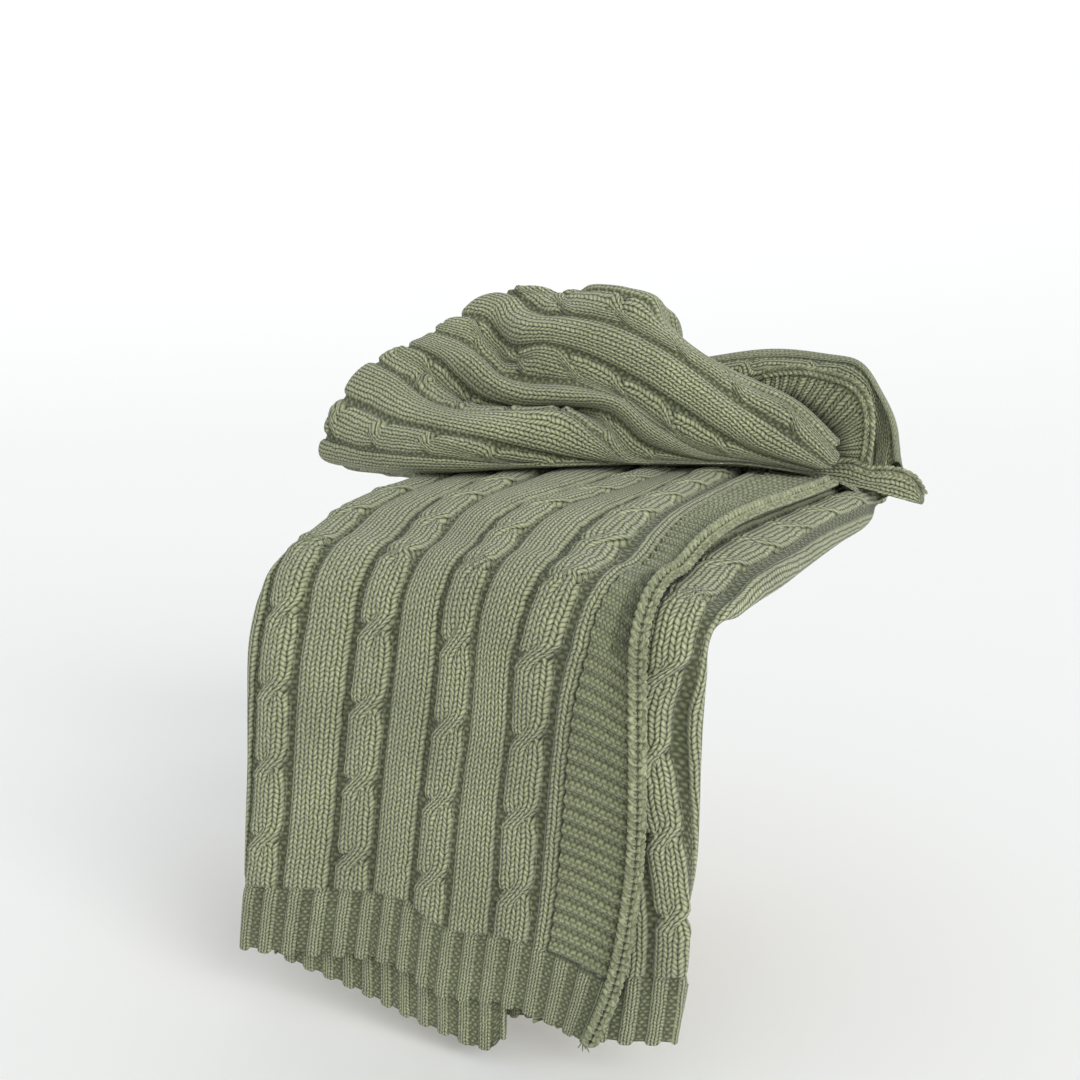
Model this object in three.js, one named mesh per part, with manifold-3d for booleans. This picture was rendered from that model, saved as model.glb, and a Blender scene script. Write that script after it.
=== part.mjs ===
// A cable-knit throw blanket on a small pedestal table.
// One end of the throw is folded lengthwise and falls over the table's front edge. The rest lies heaped on top.
// Units are millimetres. +Z is up, the fall faces -Y, and the origin is the middle of the foot, on the floor.
// The throw's tables are in the table top's own terms, as [x, y, z]: x runs along the front edge to the right,
// y runs back from the front edge, and z is the height above the table top.

import * as THREE from "three";
import { mergeVertices } from "three/addons/utils/BufferGeometryUtils.js";
import Module from "manifold-3d";

// Driving dimensions

const TABLE_HEIGHT = 415;
const TOP_LEFT = -15; // the table top's left side, in x
const TOP_WIDTH = 355;
const TOP_DEPTH = 430;
const TOP_THICKNESS = 28;
const TOP_CORNER = 60; // radius of its corners, seen from above
const TOP_BULLNOSE = 13; // the top's edges are rounded by this much, above and below
const PEDESTAL_X = 165; // the pedestal's axis, in x and y
const PEDESTAL_Y = 215;
const FOOT_RADIUS = 110;
const FOOT_THICKNESS = 18;
const STEM_RADIUS = 34;
const STEM_FLARE = 78; // radius of the stem's cone where it meets the table top
const FLARE_HEIGHT = 70;
const GAP = 0.3; // between the table's pieces

const CLOTH = 5; // thickness of the knit, without the cables that stand proud of it
const EDGE_ROUND = 22; // the fall bends over the front edge on about this radius

// The fall: how far the outermost layer stands off the table, along its way from the hem to the back.
// run: mm along the table from where the bend starts, negative on the hanging part
// left, right: the stand-off at the left fold and at the chained edge; turned: of the layer that shows past it
const STAND_OFF = [
  { run: -380, left: 75, right: 34, turned: 15 },
  { run: -283, left: 69, right: 31, turned: 17 },
  { run: -200, left: 60, right: 30, turned: 18 },
  { run: -97, left: 51, right: 36, turned: 15 },
  { run: -30, left: 41, right: 38, turned: 15 },
  { run: 0, left: 31, right: 39, turned: 15 },
  { run: 17, left: 21, right: 38, turned: 14 },
  { run: 38, left: 21, right: 34, turned: 14 },
  { run: 60, left: 26, right: 38, turned: 15 },
  { run: 85, left: 33, right: 45, turned: 21 },
  { run: 131, left: 39, right: 52, turned: 24 },
  { run: 197, left: 42, right: 54, turned: 26 },
  { run: 260, left: 44, right: 52, turned: 28 },
  { run: 330, left: 44, right: 50, turned: 27 },
  { run: 400, left: 44, right: 48, turned: 26 },
];

// Where the edges of the fall's layers lie across the table, along the same run.
const EDGES = [
  { run: -380, left: -18, under: 245, chain: 318, fold: 393 },
  { run: -283, left: -14, under: 248, chain: 357, fold: 407 },
  { run: -200, left: -12, under: 250, chain: 372, fold: 413 },
  { run: 0, left: -6, under: 250, chain: 378, fold: 417 },
  { run: 85, left: -4, under: 250, chain: 375, fold: 413 },
  { run: 260, left: -4, under: 250, chain: 376, fold: 414 },
  { run: 400, left: -4, under: 250, chain: 378, fold: 420 },
];

// The hem of each layer, as a run, from its left end to its right end.
const HEMS = {
  front: [-328, -324, -316, -322, -328, -344],
  under: [-332, -342, -352, -362, -370, -376],
  back: [-372, -360, -350, -346, -342, -334],
};

// The layers from the chained edge to the hidden edge: one sheet, folded back and forth.
// level: 4 is the outermost layer and 0 lies next to the table. from and to are places across the table.
const LAYERS = [
  { name: "front", from: "chain", to: "left", level: 4 },
  { name: "under", from: "left", to: "under", level: 3 },
  { name: "pleat", from: "under", to: "pleat", level: 2 },
  { name: "right", from: "pleat", to: "fold", level: 1 },
  { name: "lining", from: "fold", to: "last", level: 0 },
];
const PLEAT_DEPTH = 55; // how far the pleat under the front layer turns back to the left
const LAST_EDGE = 200; // the hidden edge of the innermost layer, across the table
const RUNS = [-300, -240, -180, -110, -50, -15, 0, 12, 24, 36, 55, 85, 130, 190, 260, 330, 400];

// The heap's fold lines, each from its left end to the nose of the roll at the right.
const HEAP_FOLDS = [
  { name: "tuck under the front", at: [[-108, 250, 42], [-55, 250, 42], [25, 240, 43], [90, 278, 46], [140, 322, 48],
    [180, 346, 49], [240, 362, 49], [285, 372, 49], [330, 374, 48]] },
  { name: "front edge", at: [[-130, 205, 48], [-65, 200, 48], [15, 190, 52], [80, 240, 54], [130, 295, 55],
    [170, 328, 55], [235, 350, 58], [285, 362, 62], [335, 365, 62]] },
  { name: "first cable", at: [[-120, 215, 95], [-45, 190, 85], [20, 185, 85], [80, 210, 70], [122, 264, 60],
    [168, 316, 58], [238, 346, 60], [288, 360, 64], [338, 362, 64]] },
  { name: "face of the front fold", at: [[-100, 235, 135], [-30, 215, 120], [25, 205, 110], [93, 228, 100],
    [128, 264, 95], [162, 306, 72], [232, 344, 64], [288, 358, 67], [340, 360, 66]] },
  { name: "crest of the front fold", at: [[-85, 250, 150], [-25, 235, 130], [20, 225, 118], [85, 250, 118],
    [130, 275, 116], [152, 308, 108], [218, 340, 76], [285, 356, 71], [342, 358, 68]] },
  { name: "valley behind it", at: [[-70, 265, 160], [-20, 253, 138], [22, 255, 118], [60, 283, 108], [104, 308, 106],
    [150, 326, 100], [214, 348, 84], [284, 362, 74], [344, 362, 70]] },
  { name: "crest of the second fold", at: [[-40, 275, 175], [10, 265, 170], [35, 262, 155], [72, 266, 138],
    [125, 286, 130], [160, 308, 124], [228, 338, 86], [288, 350, 72], [346, 356, 70]] },
  { name: "second cable", at: [[-20, 285, 187], [25, 280, 177], [42, 286, 162], [72, 287, 156], [126, 302, 146],
    [168, 320, 130], [236, 342, 90], [292, 350, 74], [350, 354, 71]] },
  { name: "front of the roll", at: [[10, 305, 212], [35, 295, 204], [65, 290, 194], [100, 289, 185], [170, 300, 168],
    [208, 314, 136], [264, 329, 106], [316, 344, 84], [360, 352, 74]] },
  { name: "face of the roll", at: [[30, 315, 218], [55, 305, 210], [90, 300, 202], [135, 300, 200], [185, 310, 176],
    [234, 324, 142], [280, 338, 117], [322, 354, 94], [366, 362, 80]] },
  { name: "third cable", at: [[45, 325, 220], [75, 319, 215], [115, 314, 211], [150, 315, 211], [195, 325, 190],
    [240, 338, 152], [284, 353, 128], [324, 368, 105], [368, 376, 90]] },
  { name: "crest of the heap", at: [[60, 340, 220], [90, 335, 221], [125, 330, 225], [160, 335, 224],
    [195, 346, 196], [234, 358, 162], [275, 370, 145], [318, 384, 122], [362, 394, 104]] },
];

// Behind the crest the heap slopes down to the table top. back: mm behind the crest; high: share of the crest's height.
const HEAP_BACK = [
  { back: 34, high: 0.94 },
  { back: 66, high: 0.7 },
  { back: 82, high: 0.38 },
  { back: 76, high: 0.07 },
];
// How much of that room the back has at each place along the crest: behind the roll stands the lobe.
const BACK_ROOM = [1, 1, 1.05, 1.05, 0.9, 0.5, 0.36, 0.2, 0.1];
const BACK_LIMIT = 424; // the heap's back foot stays on the table top, within this y
// Past the left silhouette the fold lines turn to the back and sink. The shares are of each line's own height.
const LEFT_TURN = [
  { along: 14, back: 86, high: 0.1 },
  { along: 6, back: 78, high: 0.45 },
  { along: 2, back: 52, high: 0.82 },
];
// Past the nose the roll turns under itself.
const NOSE_TURN = [
  { along: -2, back: 4, high: 0.8 },
  { along: -26, back: 6, high: 0.74 },
];

// The lobe behind the roll: its lines from behind the roll, over the top and down its right side.
const LOBE_FOLDS = [
  { name: "end of the stack", at: [[214, 384, 49], [285, 384, 49], [328, 384, 48], [352, 385, 46], [372, 386, 42],
    [386, 387, 36], [394, 388, 28]] },
  { name: "inside foot", at: [[212, 402, 56], [285, 406, 56], [328, 406, 55], [354, 406, 53], [376, 406, 50],
    [389, 406, 45], [396, 408, 38]] },
  { name: "inside", at: [[208, 404, 126], [280, 415, 134], [330, 413, 130], [362, 412, 120], [382, 412, 98],
    [392, 412, 72], [397, 412, 52]] },
  { name: "top", at: [[204, 412, 152], [280, 428, 163], [330, 428, 163], [364, 428, 158], [394, 426, 138],
    [412, 424, 108], [424, 422, 60]] },
  { name: "outside", at: [[202, 418, 120], [276, 450, 130], [330, 452, 130], [366, 450, 124], [396, 446, 104],
    [414, 440, 80], [426, 436, 46]] },
  { name: "back", at: [[202, 420, 60], [276, 448, 64], [330, 452, 64], [366, 450, 62], [396, 446, 56],
    [415, 440, 48], [426, 434, 38]] },
  { name: "back foot", at: [[206, 412, 8], [280, 430, 8], [322, 434, 8], [352, 436, 9], [386, 436, 18],
    [408, 432, 26], [420, 428, 30]] },
  { name: "under the stack's end", at: [[222, 384, 5], [285, 384, 5], [325, 384, 5], [350, 384, 5], [375, 384, 7],
    [392, 384, 12], [398, 386, 16]] },
];
// Inside the heap the throw lies in loose folds, one over the other. Each row is a place along the heap:
// front and back are the folds' ends, low and high the heights of the lowest and the highest layer.
const INNER_FOLDS = [
  { name: "left end", x: -100, front: 236, back: 268, low: 45, high: 62 },
  { name: "overhang", x: -50, front: 242, back: 300, low: 43, high: 106 },
  { name: "left", x: 20, front: 272, back: 352, low: 47, high: 146 },
  { name: "middle", x: 95, front: 306, back: 388, low: 49, high: 176 },
  { name: "right", x: 160, front: 344, back: 392, low: 50, high: 158 },
  { name: "right end", x: 225, front: 362, back: 390, low: 50, high: 116 },
];
const INNER_LAYERS = 6;
// The side band that curls towards the roll, from its chained edge inwards.
const BAND_FOLDS = [
  { name: "chained edge", at: [[278, 404, 140], [305, 402, 141], [332, 400, 137], [358, 400, 131], [376, 400, 117],
    [383, 402, 98], [388, 404, 74], [386, 406, 50]] },
  { name: "middle", at: [[284, 398, 116], [306, 397, 116], [326, 396, 114], [344, 396, 108], [358, 396, 98],
    [366, 398, 84], [370, 400, 66], [372, 402, 48]] },
  { name: "under the roll", at: [[296, 404, 88], [310, 404, 90], [322, 404, 90], [334, 404, 86], [344, 404, 80],
    [350, 404, 70], [354, 404, 58], [356, 404, 46]] },
];
// The corner that lies past the fall's right fold and curls over.
const CORNER_FOLDS = [
  { name: "on the stack", at: [[352, 404, 50], [374, 408, 49], [396, 416, 42], [414, 420, 33]] },
  { name: "roll", at: [[358, 392, 57], [382, 396, 57], [408, 402, 50], [430, 408, 38]] },
  { name: "outer edge", at: [[366, 386, 48], [392, 390, 46], [418, 398, 38], [440, 412, 24]] },
];

// Small helpers

const wasm = await Module();
wasm.setup();

const lerp = THREE.MathUtils.lerp;

// The value of a column of a table at a run, between its rows.
function column(table, key, run) {
  const last = table.length - 1;
  if (run <= table[0].run) return table[0][key];
  if (run >= table[last].run) return table[last][key];
  const i = table.findIndex((row) => row.run > run);
  const a = table[i - 1];
  const b = table[i];
  return lerp(a[key], b[key], (run - a.run) / (b.run - a.run));
}

// The value of an evenly spaced list at a share from 0 to 1.
function along(list, share) {
  const place = THREE.MathUtils.clamp(share, 0, 1) * (list.length - 1);
  const i = Math.min(Math.floor(place), list.length - 2);
  return lerp(list[i], list[i + 1], place - i);
}

// A grid of points made finer and smooth, with so many steps between the lines and along them.
function smoothGrid(rows, acrossSteps, alongSteps) {
  const refine = (points, steps) =>
    new THREE.CatmullRomCurve3(points, false, "centripetal").getPoints((points.length - 1) * steps);
  const exact = (points, steps) => {
    const curve = new THREE.CatmullRomCurve3(points, false, "centripetal");
    const count = (points.length - 1) * steps;
    return Array.from({ length: count + 1 }, (_, i) => curve.getPoint(i / count));
  };
  const longer = rows.map((row) => refine(row, alongSteps));
  const columns = longer[0].map((_, j) => exact(longer.map((row) => row[j]), acrossSteps));
  return columns[0].map((_, i) => columns.map((points) => points[i]));
}

// A closed sheet of the cloth's thickness around a grid of points.
function thickSheet(rows, thickness = CLOTH) {
  const m = rows.length;
  const n = rows[0].length;
  const at = (i, j) => rows[THREE.MathUtils.clamp(i, 0, m - 1)][THREE.MathUtils.clamp(j, 0, n - 1)];
  const sides = [[], []];
  for (let i = 0; i < m; i++)
    for (let j = 0; j < n; j++) {
      const down = at(i + 1, j).clone().sub(at(i - 1, j));
      const over = at(i, j + 1).clone().sub(at(i, j - 1));
      const out = down.cross(over).normalize().multiplyScalar(thickness / 2);
      sides[0].push(at(i, j).clone().add(out));
      sides[1].push(at(i, j).clone().sub(out));
    }
  const points = [...sides[0], ...sides[1]];
  const id = (side, i, j) => side * m * n + i * n + j;
  const faces = [];
  const quad = (a, b, c, d) => faces.push(a, b, c, a, c, d);
  for (let i = 0; i < m - 1; i++)
    for (let j = 0; j < n - 1; j++) {
      quad(id(0, i, j), id(0, i + 1, j), id(0, i + 1, j + 1), id(0, i, j + 1));
      quad(id(1, i, j), id(1, i, j + 1), id(1, i + 1, j + 1), id(1, i + 1, j));
    }
  for (let i = 0; i < m - 1; i++) {
    quad(id(0, i, 0), id(1, i, 0), id(1, i + 1, 0), id(0, i + 1, 0));
    quad(id(0, i, n - 1), id(0, i + 1, n - 1), id(1, i + 1, n - 1), id(1, i, n - 1));
  }
  for (let j = 0; j < n - 1; j++) {
    quad(id(0, 0, j), id(0, 0, j + 1), id(1, 0, j + 1), id(1, 0, j));
    quad(id(0, m - 1, j), id(1, m - 1, j), id(1, m - 1, j + 1), id(0, m - 1, j + 1));
  }
  const geometry = new THREE.BufferGeometry();
  geometry.setAttribute("position", new THREE.Float32BufferAttribute(points.flatMap((p) => p.toArray()), 3));
  geometry.setIndex(faces);
  return geometry;
}

// Closed meshes joined into one, as a geometry.
function joined(geometries) {
  const solids = geometries.map((geometry) => {
    const merged = mergeVertices(geometry, 1e-3);
    const vertProperties = merged.attributes.position.array;
    const triVerts = new Uint32Array(merged.index.array);
    return new wasm.Manifold(new wasm.Mesh({ numProp: 3, vertProperties, triVerts }));
  });
  const whole = solids.reduce((a, b) => a.add(b)).getMesh();
  const geometry = new THREE.BufferGeometry();
  geometry.setAttribute("position", new THREE.BufferAttribute(whole.vertProperties, 3));
  geometry.setIndex(new THREE.BufferAttribute(whole.triVerts, 1));
  return geometry;
}

const tableOf = (lines) => lines.map((line) => line.at.map((p) => new THREE.Vector3(...p)));

// The fall: one sheet folded back and forth, over the table's front edge

// The point of the table that a run stands for, and the direction away from it.
function tablePoint(run) {
  const bend = (Math.PI / 2) * EDGE_ROUND;
  if (run < 0) return { y: 0, z: -EDGE_ROUND + run, out: [-1, 0] };
  if (run > bend) return { y: EDGE_ROUND + run - bend, z: 0, out: [0, 1] };
  const angle = run / EDGE_ROUND;
  const y = EDGE_ROUND * (1 - Math.cos(angle));
  const z = EDGE_ROUND * (Math.sin(angle) - 1);
  return { y, z, out: [-Math.cos(angle), Math.sin(angle)] };
}

const LOWEST = CLOTH / 2 + 2; // the innermost layer clears the table by 2 mm
const EDGE_CLEARANCE = 4; // and by this much more on the bend, because the top's edge is sharper than the bend
const MIDDLE_SWELL = 4; // the outer layer stands higher between its sides, where more layers lie under it

// How far off the table a layer's middle is, at a place across it.
function standOff(level, x, run) {
  const left = column(EDGES, "left", run);
  const chain = column(EDGES, "chain", run);
  const share = THREE.MathUtils.clamp((x - left) / (chain - left), 0, 1);
  const sides = lerp(column(STAND_OFF, "left", run), column(STAND_OFF, "right", run), share);
  const outer = sides + MIDDLE_SWELL * Math.sin(Math.PI * share) - CLOTH / 2;
  const bendShare = THREE.MathUtils.clamp(1 - Math.abs(run - 17) / 30, 0, 1);
  const inner = LOWEST + EDGE_CLEARANCE * bendShare;
  return lerp(inner, outer, level / 4);
}

// A layer's level changes across it: fewer layers lie under it near the left fold, and more past the pleat.
// On the hanging part the second layer stays close behind the first.
function levelAt(layer, x, run) {
  if (layer.name === "under") {
    const onTop = lerp(1, 3, THREE.MathUtils.smoothstep(x, 0, 180));
    return lerp(3.2, onTop, THREE.MathUtils.smoothstep(run, -160, -20));
  }
  if (layer.name === "right") return lerp(1, 3.15, THREE.MathUtils.smoothstep(x, 262, 345));
  return layer.level;
}

function placeAcross(name, run) {
  if (name === "pleat") return column(EDGES, "under", run) - PLEAT_DEPTH;
  if (name === "last") return LAST_EDGE;
  return column(EDGES, name, run);
}

function layerPoint(layer, share, run) {
  const x = lerp(placeAcross(layer.from, run), placeAcross(layer.to, run), share);
  let off = standOff(levelAt(layer, x, run), x, run);
  if (layer.name === "right") {
    const chain = column(EDGES, "chain", run);
    const fold = column(EDGES, "fold", run);
    const turned = column(STAND_OFF, "turned", run) - CLOTH / 2;
    off = lerp(off, turned, THREE.MathUtils.smoothstep(x, chain - 10, fold - 4));
  }
  return { x, off };
}

function hemOf(layer, x) {
  if (layer.name === "front") return along(HEMS.front, (x - EDGES[0].left) / 350);
  if (layer.name === "under") return along(HEMS.under, (x - EDGES[0].left) / 265);
  return along(HEMS.back, (x - 190) / 205);
}

function fallPoint(x, off, run) {
  const spot = tablePoint(run);
  return new THREE.Vector3(x, spot.y + spot.out[0] * off, spot.z + spot.out[1] * off);
}

// One line of the fall's sheet, from its hem to its far end.
function fallLine(pointAt, hem) {
  return [hem, ...RUNS].map((run) => {
    const { x, off } = pointAt(run);
    return fallPoint(x, off, run);
  });
}

function fallGrid() {
  const lines = [];
  LAYERS.forEach((layer, k) => {
    const steps = { front: 12, under: 8, pleat: 2, right: 9, lining: 6 }[layer.name];
    for (let i = 0; i <= steps; i++) {
      const share = i / steps;
      const hemX = lerp(placeAcross(layer.from, -340), placeAcross(layer.to, -340), share);
      lines.push(fallLine((run) => layerPoint(layer, share, run), hemOf(layer, hemX)));
    }
    const next = LAYERS[k + 1];
    if (!next) return;
    // the turn into the next layer is a half circle, out to the side that the layer runs to
    const side = placeAcross(layer.to, 0) > placeAcross(layer.from, 0) ? 1 : -1;
    const turnX = placeAcross(layer.to, -340);
    const hem = (hemOf(layer, turnX) + hemOf(next, turnX)) / 2;
    for (const angle of [-45, 0, 45]) {
      const turn = THREE.MathUtils.degToRad(angle);
      lines.push(
        fallLine((run) => {
          const a = layerPoint(layer, 1, run);
          const b = layerPoint(next, 0, run);
          const radius = (a.off - b.off) / 2;
          return {
            x: a.x + side * radius * Math.cos(turn),
            off: (a.off + b.off) / 2 - radius * Math.sin(turn),
          };
        }, hem),
      );
    }
  });
  return lines;
}

// The heap

// The heap's outer sheet: the visible folds, turned to the back past the left silhouette and under at the nose.
function heapGrid() {
  const lines = tableOf(HEAP_FOLDS).map((line) => {
    const [first] = line;
    const nose = line[line.length - 1];
    const turned = (p, turn) => {
      const y = Math.min(p.y + turn.back, BACK_LIMIT);
      return new THREE.Vector3(p.x + turn.along, y, Math.max(p.z * turn.high, LOWEST));
    };
    const left = LEFT_TURN.map((turn) => turned(first, turn));
    const right = NOSE_TURN.map((turn) => turned(nose, turn));
    return [...left, ...line, ...right];
  });
  return smoothGrid(lines, 2, 1);
}

// The slope from the crest down to the table top, behind the heap.
function backGrid() {
  const [crest] = tableOf(HEAP_FOLDS.slice(-1));
  const slopes = HEAP_BACK.map((slope) =>
    crest.map((p, j) => {
      const y = Math.min(p.y + slope.back * BACK_ROOM[j], BACK_LIMIT);
      return new THREE.Vector3(p.x, y, Math.max(p.z * slope.high, LOWEST));
    }),
  );
  return smoothGrid([crest, ...slopes], 2, 1);
}

// The folds inside the heap: one sheet that goes back and forth, each line of it running along the heap.
function innerGrid() {
  const lines = [];
  for (let layer = 0; layer < INNER_LAYERS; layer++) {
    const forward = layer % 2 === 0;
    for (const share of [0, 0.5, 1]) {
      const inwards = forward ? 1 - share : share;
      const lift = share - 0.5; // a layer rises towards the turn into the next one
      const height = THREE.MathUtils.clamp((layer + 0.35 * lift) / (INNER_LAYERS - 1), 0, 1);
      lines.push(
        INNER_FOLDS.map((end) => {
          const z = lerp(end.low, end.high, height);
          return new THREE.Vector3(end.x, lerp(end.front, end.back, inwards), z);
        }),
      );
    }
  }
  return lines;
}

function throwGeometry() {
  return joined([
    thickSheet(fallGrid()),
    thickSheet(heapGrid()),
    thickSheet(backGrid()),
    thickSheet(innerGrid()),
    thickSheet(smoothGrid(tableOf(LOBE_FOLDS), 2, 1)),
    thickSheet(smoothGrid(tableOf(BAND_FOLDS), 2, 1)),
    thickSheet(smoothGrid(tableOf(CORNER_FOLDS), 2, 2)),
  ]);
}

// The table

function tableTopGeometry() {
  const left = TOP_LEFT + TOP_BULLNOSE;
  const right = TOP_LEFT + TOP_WIDTH - TOP_BULLNOSE;
  const front = TOP_BULLNOSE;
  const back = TOP_DEPTH - TOP_BULLNOSE;
  const r = TOP_CORNER - TOP_BULLNOSE;
  const outline = new THREE.Shape();
  outline.moveTo(left + r, front);
  outline.lineTo(right - r, front);
  outline.absarc(right - r, front + r, r, -Math.PI / 2, 0);
  outline.lineTo(right, back - r);
  outline.absarc(right - r, back - r, r, 0, Math.PI / 2);
  outline.lineTo(left + r, back);
  outline.absarc(left + r, back - r, r, Math.PI / 2, Math.PI);
  outline.lineTo(left, front + r);
  outline.absarc(left + r, front + r, r, Math.PI, Math.PI * 1.5);
  const geometry = new THREE.ExtrudeGeometry(outline, {
    depth: TOP_THICKNESS - 2 * TOP_BULLNOSE,
    curveSegments: 6,
    bevelThickness: TOP_BULLNOSE,
    bevelSize: TOP_BULLNOSE,
    bevelSegments: 3,
  });
  return geometry.translate(0, 0, -TOP_THICKNESS + TOP_BULLNOSE);
}

// Half a profile turned about the pedestal's axis, its points as [radius, height above the floor].
function turned(profile) {
  const points = profile.map(([radius, height]) => new THREE.Vector2(radius, height));
  return new THREE.LatheGeometry(points, 40).rotateX(Math.PI / 2);
}

function footGeometry() {
  return turned([
    [0, 0],
    [FOOT_RADIUS, 0],
    [FOOT_RADIUS, FOOT_THICKNESS - 5],
    [FOOT_RADIUS - 5, FOOT_THICKNESS],
    [0, FOOT_THICKNESS],
  ]);
}

function stemGeometry() {
  const bottom = FOOT_THICKNESS + GAP;
  const top = TABLE_HEIGHT - TOP_THICKNESS - GAP;
  const flare = Array.from({ length: 7 }, (_, i) => {
    const turn = ((i / 6) * Math.PI) / 2;
    const radius = STEM_FLARE - (STEM_FLARE - STEM_RADIUS) * Math.cos(turn);
    return [radius, top - FLARE_HEIGHT + FLARE_HEIGHT * Math.sin(turn)];
  });
  return turned([[0, bottom], [STEM_RADIUS + 10, bottom], [STEM_RADIUS, bottom + 26], ...flare, [0, top]]);
}

// Materials and the scene graph

const material = (color, roughness) => new THREE.MeshStandardMaterial({ color, roughness, metalness: 0 });
const sageKnit = material(0x8b9474, 0.95);
const paleWood = material(0xb9a888, 0.55);

function named(name, geometry, finish) {
  const mesh = new THREE.Mesh(geometry, finish);
  mesh.name = name;
  return mesh;
}

const part = new THREE.Group();
const pedestal = new THREE.Group();
pedestal.add(named("pedestal_foot", footGeometry(), paleWood));
pedestal.add(named("pedestal_stem", stemGeometry(), paleWood));
const onTop = new THREE.Group();
onTop.position.set(-PEDESTAL_X, -PEDESTAL_Y, TABLE_HEIGHT);
onTop.add(named("table_top", tableTopGeometry(), paleWood));
onTop.add(named("knit_throw", throwGeometry(), sageKnit));
part.add(pedestal, onTop);

export default part;
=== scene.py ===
"""The looks of a cable-knit throw that lies over a small pedestal table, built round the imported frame."""

import math

import bmesh
import bpy
import numpy as np
from bpy.props import FloatProperty, PointerProperty, StringProperty
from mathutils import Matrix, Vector


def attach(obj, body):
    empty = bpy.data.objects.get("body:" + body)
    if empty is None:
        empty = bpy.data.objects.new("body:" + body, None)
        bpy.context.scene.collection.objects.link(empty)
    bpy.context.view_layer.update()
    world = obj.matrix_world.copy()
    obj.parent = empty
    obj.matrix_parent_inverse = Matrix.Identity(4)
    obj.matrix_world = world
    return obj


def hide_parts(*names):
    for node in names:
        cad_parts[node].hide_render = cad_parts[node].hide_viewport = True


bl_info = {
    "name": "Cable-knit throw on a pedestal table",
    "version": (1, 0, 0),
    "blender": (4, 5, 0),
    "location": "View3D > Sidebar > Throw",
    "description": "Builds a draped cable-knit throw and its finishes round a packed frame",
    "category": "Add Mesh",
}

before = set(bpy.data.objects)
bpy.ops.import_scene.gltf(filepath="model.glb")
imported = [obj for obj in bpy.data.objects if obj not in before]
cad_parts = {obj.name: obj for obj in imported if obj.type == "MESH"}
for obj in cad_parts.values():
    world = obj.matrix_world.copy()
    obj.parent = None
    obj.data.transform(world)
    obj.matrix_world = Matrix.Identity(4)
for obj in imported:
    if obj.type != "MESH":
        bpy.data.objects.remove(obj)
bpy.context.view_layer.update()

# Places are in millimetres in the table top's own terms, as in the part's source: x runs to the right along
# the front edge, y back from it and z up from the top. TOP_ORIGIN is that corner's place in the frame.
TOP_ORIGIN = np.array([-0.165, -0.215, 0.415])

# The knit is measured across in legs: a stitch is a V of two legs. One repeat is a knit column of five
# stitches, a purl groove, a cable of four stitches and another purl groove.
REPEAT = 21.0
COLUMN_MIDDLE = 4.0
COLUMN_HALF = 5.0
CABLE_MIDDLE = 14.5
CABLE_HALF = 4.0
PURL_DEPTH = 4.4  # mm that the grooves lie below the knit columns
COLUMN_CROWN = 3.0  # mm that a column's middle stands above its sides
CABLE_PROUD = 3.6  # mm that a cable stands above a column's sides
CROSSING_PROUD = 1.2  # mm more where one strand passes over the other
COLUMN_SIDE = 1.3  # legs over which a column's side rises out of the groove
# A cable's shape, in parts of its half width across and of the way from crossing to crossing along: its
# half width between crossings, how much narrower it is at one and over how much of the way.
CABLE_WAIST = (1.06, 0.13, 0.14)
# Its two strands: how far each lies from the middle, how wide it is to a side, how much wider the upper one
# is where it crosses and over how much of the way, and how far from the crossing it begins to move over.
STRAND_PLACE = 0.5
STRAND_HALF = 0.56
STRAND_SWELL = (0.16, 0.08)
STRAND_MOVES = 0.2
TONGUE_HIGH = 0.94  # the lower strand's height, as a part of the cable's
TONGUE_END = (0.01, 0.09)  # where it ends, and over how much of the way it rounds off
MERGED = (0.12, 0.27)  # between these the two strands run together into one bead
RIB_LEGS = 5.6  # a rib of the hem and the groove beside it
RIB_KNIT = 3.3
RIB_FIRST = -0.8  # the leg at which a rib begins
RIB_SIDES = (1.0, 0.9)  # legs over which a rib's side and a groove's bulge rise
RIB_STITCHES = 4.0  # two knit and two purl
RIB_DEPTH = 3.3  # mm that the grooves between the ribs lie below the columns' sides
RIB_RISE = 4.5
RIB_BULGE = 0.8  # mm that the purl stitches bulge out of a groove
RIB_BLEND = (-2, 3)  # mm below and above the rib's upper edge, between which body and rib blend
RIB_PINCH = 1.3  # mm that the cloth draws in along that edge, and how far from it
PINCH_REACH = 4
WELT_PITCH = 13.5  # mm between the cross ridges of the side band
WELT_BASE = -0.4
WELT_HEIGHT = 2.2  # mm that they rise above and sink below their base
WELT_SLANT = -0.14  # how far along they climb to each mm across, where the band hangs
WELT_COURSES = 4.0
BAND_STITCHES = 1.4  # the side band's short bumps are narrower than the stitches by this
BAND_PURL = 0.75  # how far its stitches look purl
FAN_PITCH = 10.5  # mm between the ribs that fan out round the nose of the heap
FAN_HEIGHT = 7.0
FAN_STITCHES = 1.0
FAN_COURSES = 0.75  # courses along a rib to each place of the band's table
FIRST_CROSSING = -12.5  # the run at which the cables of the fall cross
HEM_HEIGHT = 61.0  # mm of rib above the lower edge
RELIEF_LIMITS = (0.25, 1.1)  # the part of the relief that stays where the legs are squeezed or stretched
SLACK_RELIEF = 0.85  # and where the cloth lies slack, as on the heap
END_SLACK = 0.45  # how much less of it stays at the two ends of such a sheet
LEFT_SLACK = (30, 130)  # mm from its left end and from its right end, between which it comes back
RIGHT_SLACK = (5, 40)
LEG_STEP = 1 / 3  # legs between the lines of a fine grid

# The fall, copied from the part: how far the outermost layer stands off the table, and its edges.
EDGE_ROUND = 22.0
CLOTH = 5.0
LOWEST = CLOTH / 2 + 2
EDGE_CLEARANCE = 4.0  # mm more that the innermost layer clears the edge, and the runs round which it does
CLEARANCE_AT = 17
CLEARANCE_REACH = 30
MIDDLE_SWELL = 4.0
FACE_FLAT = (-60, 30)  # the runs between which the folds of the face die out
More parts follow.
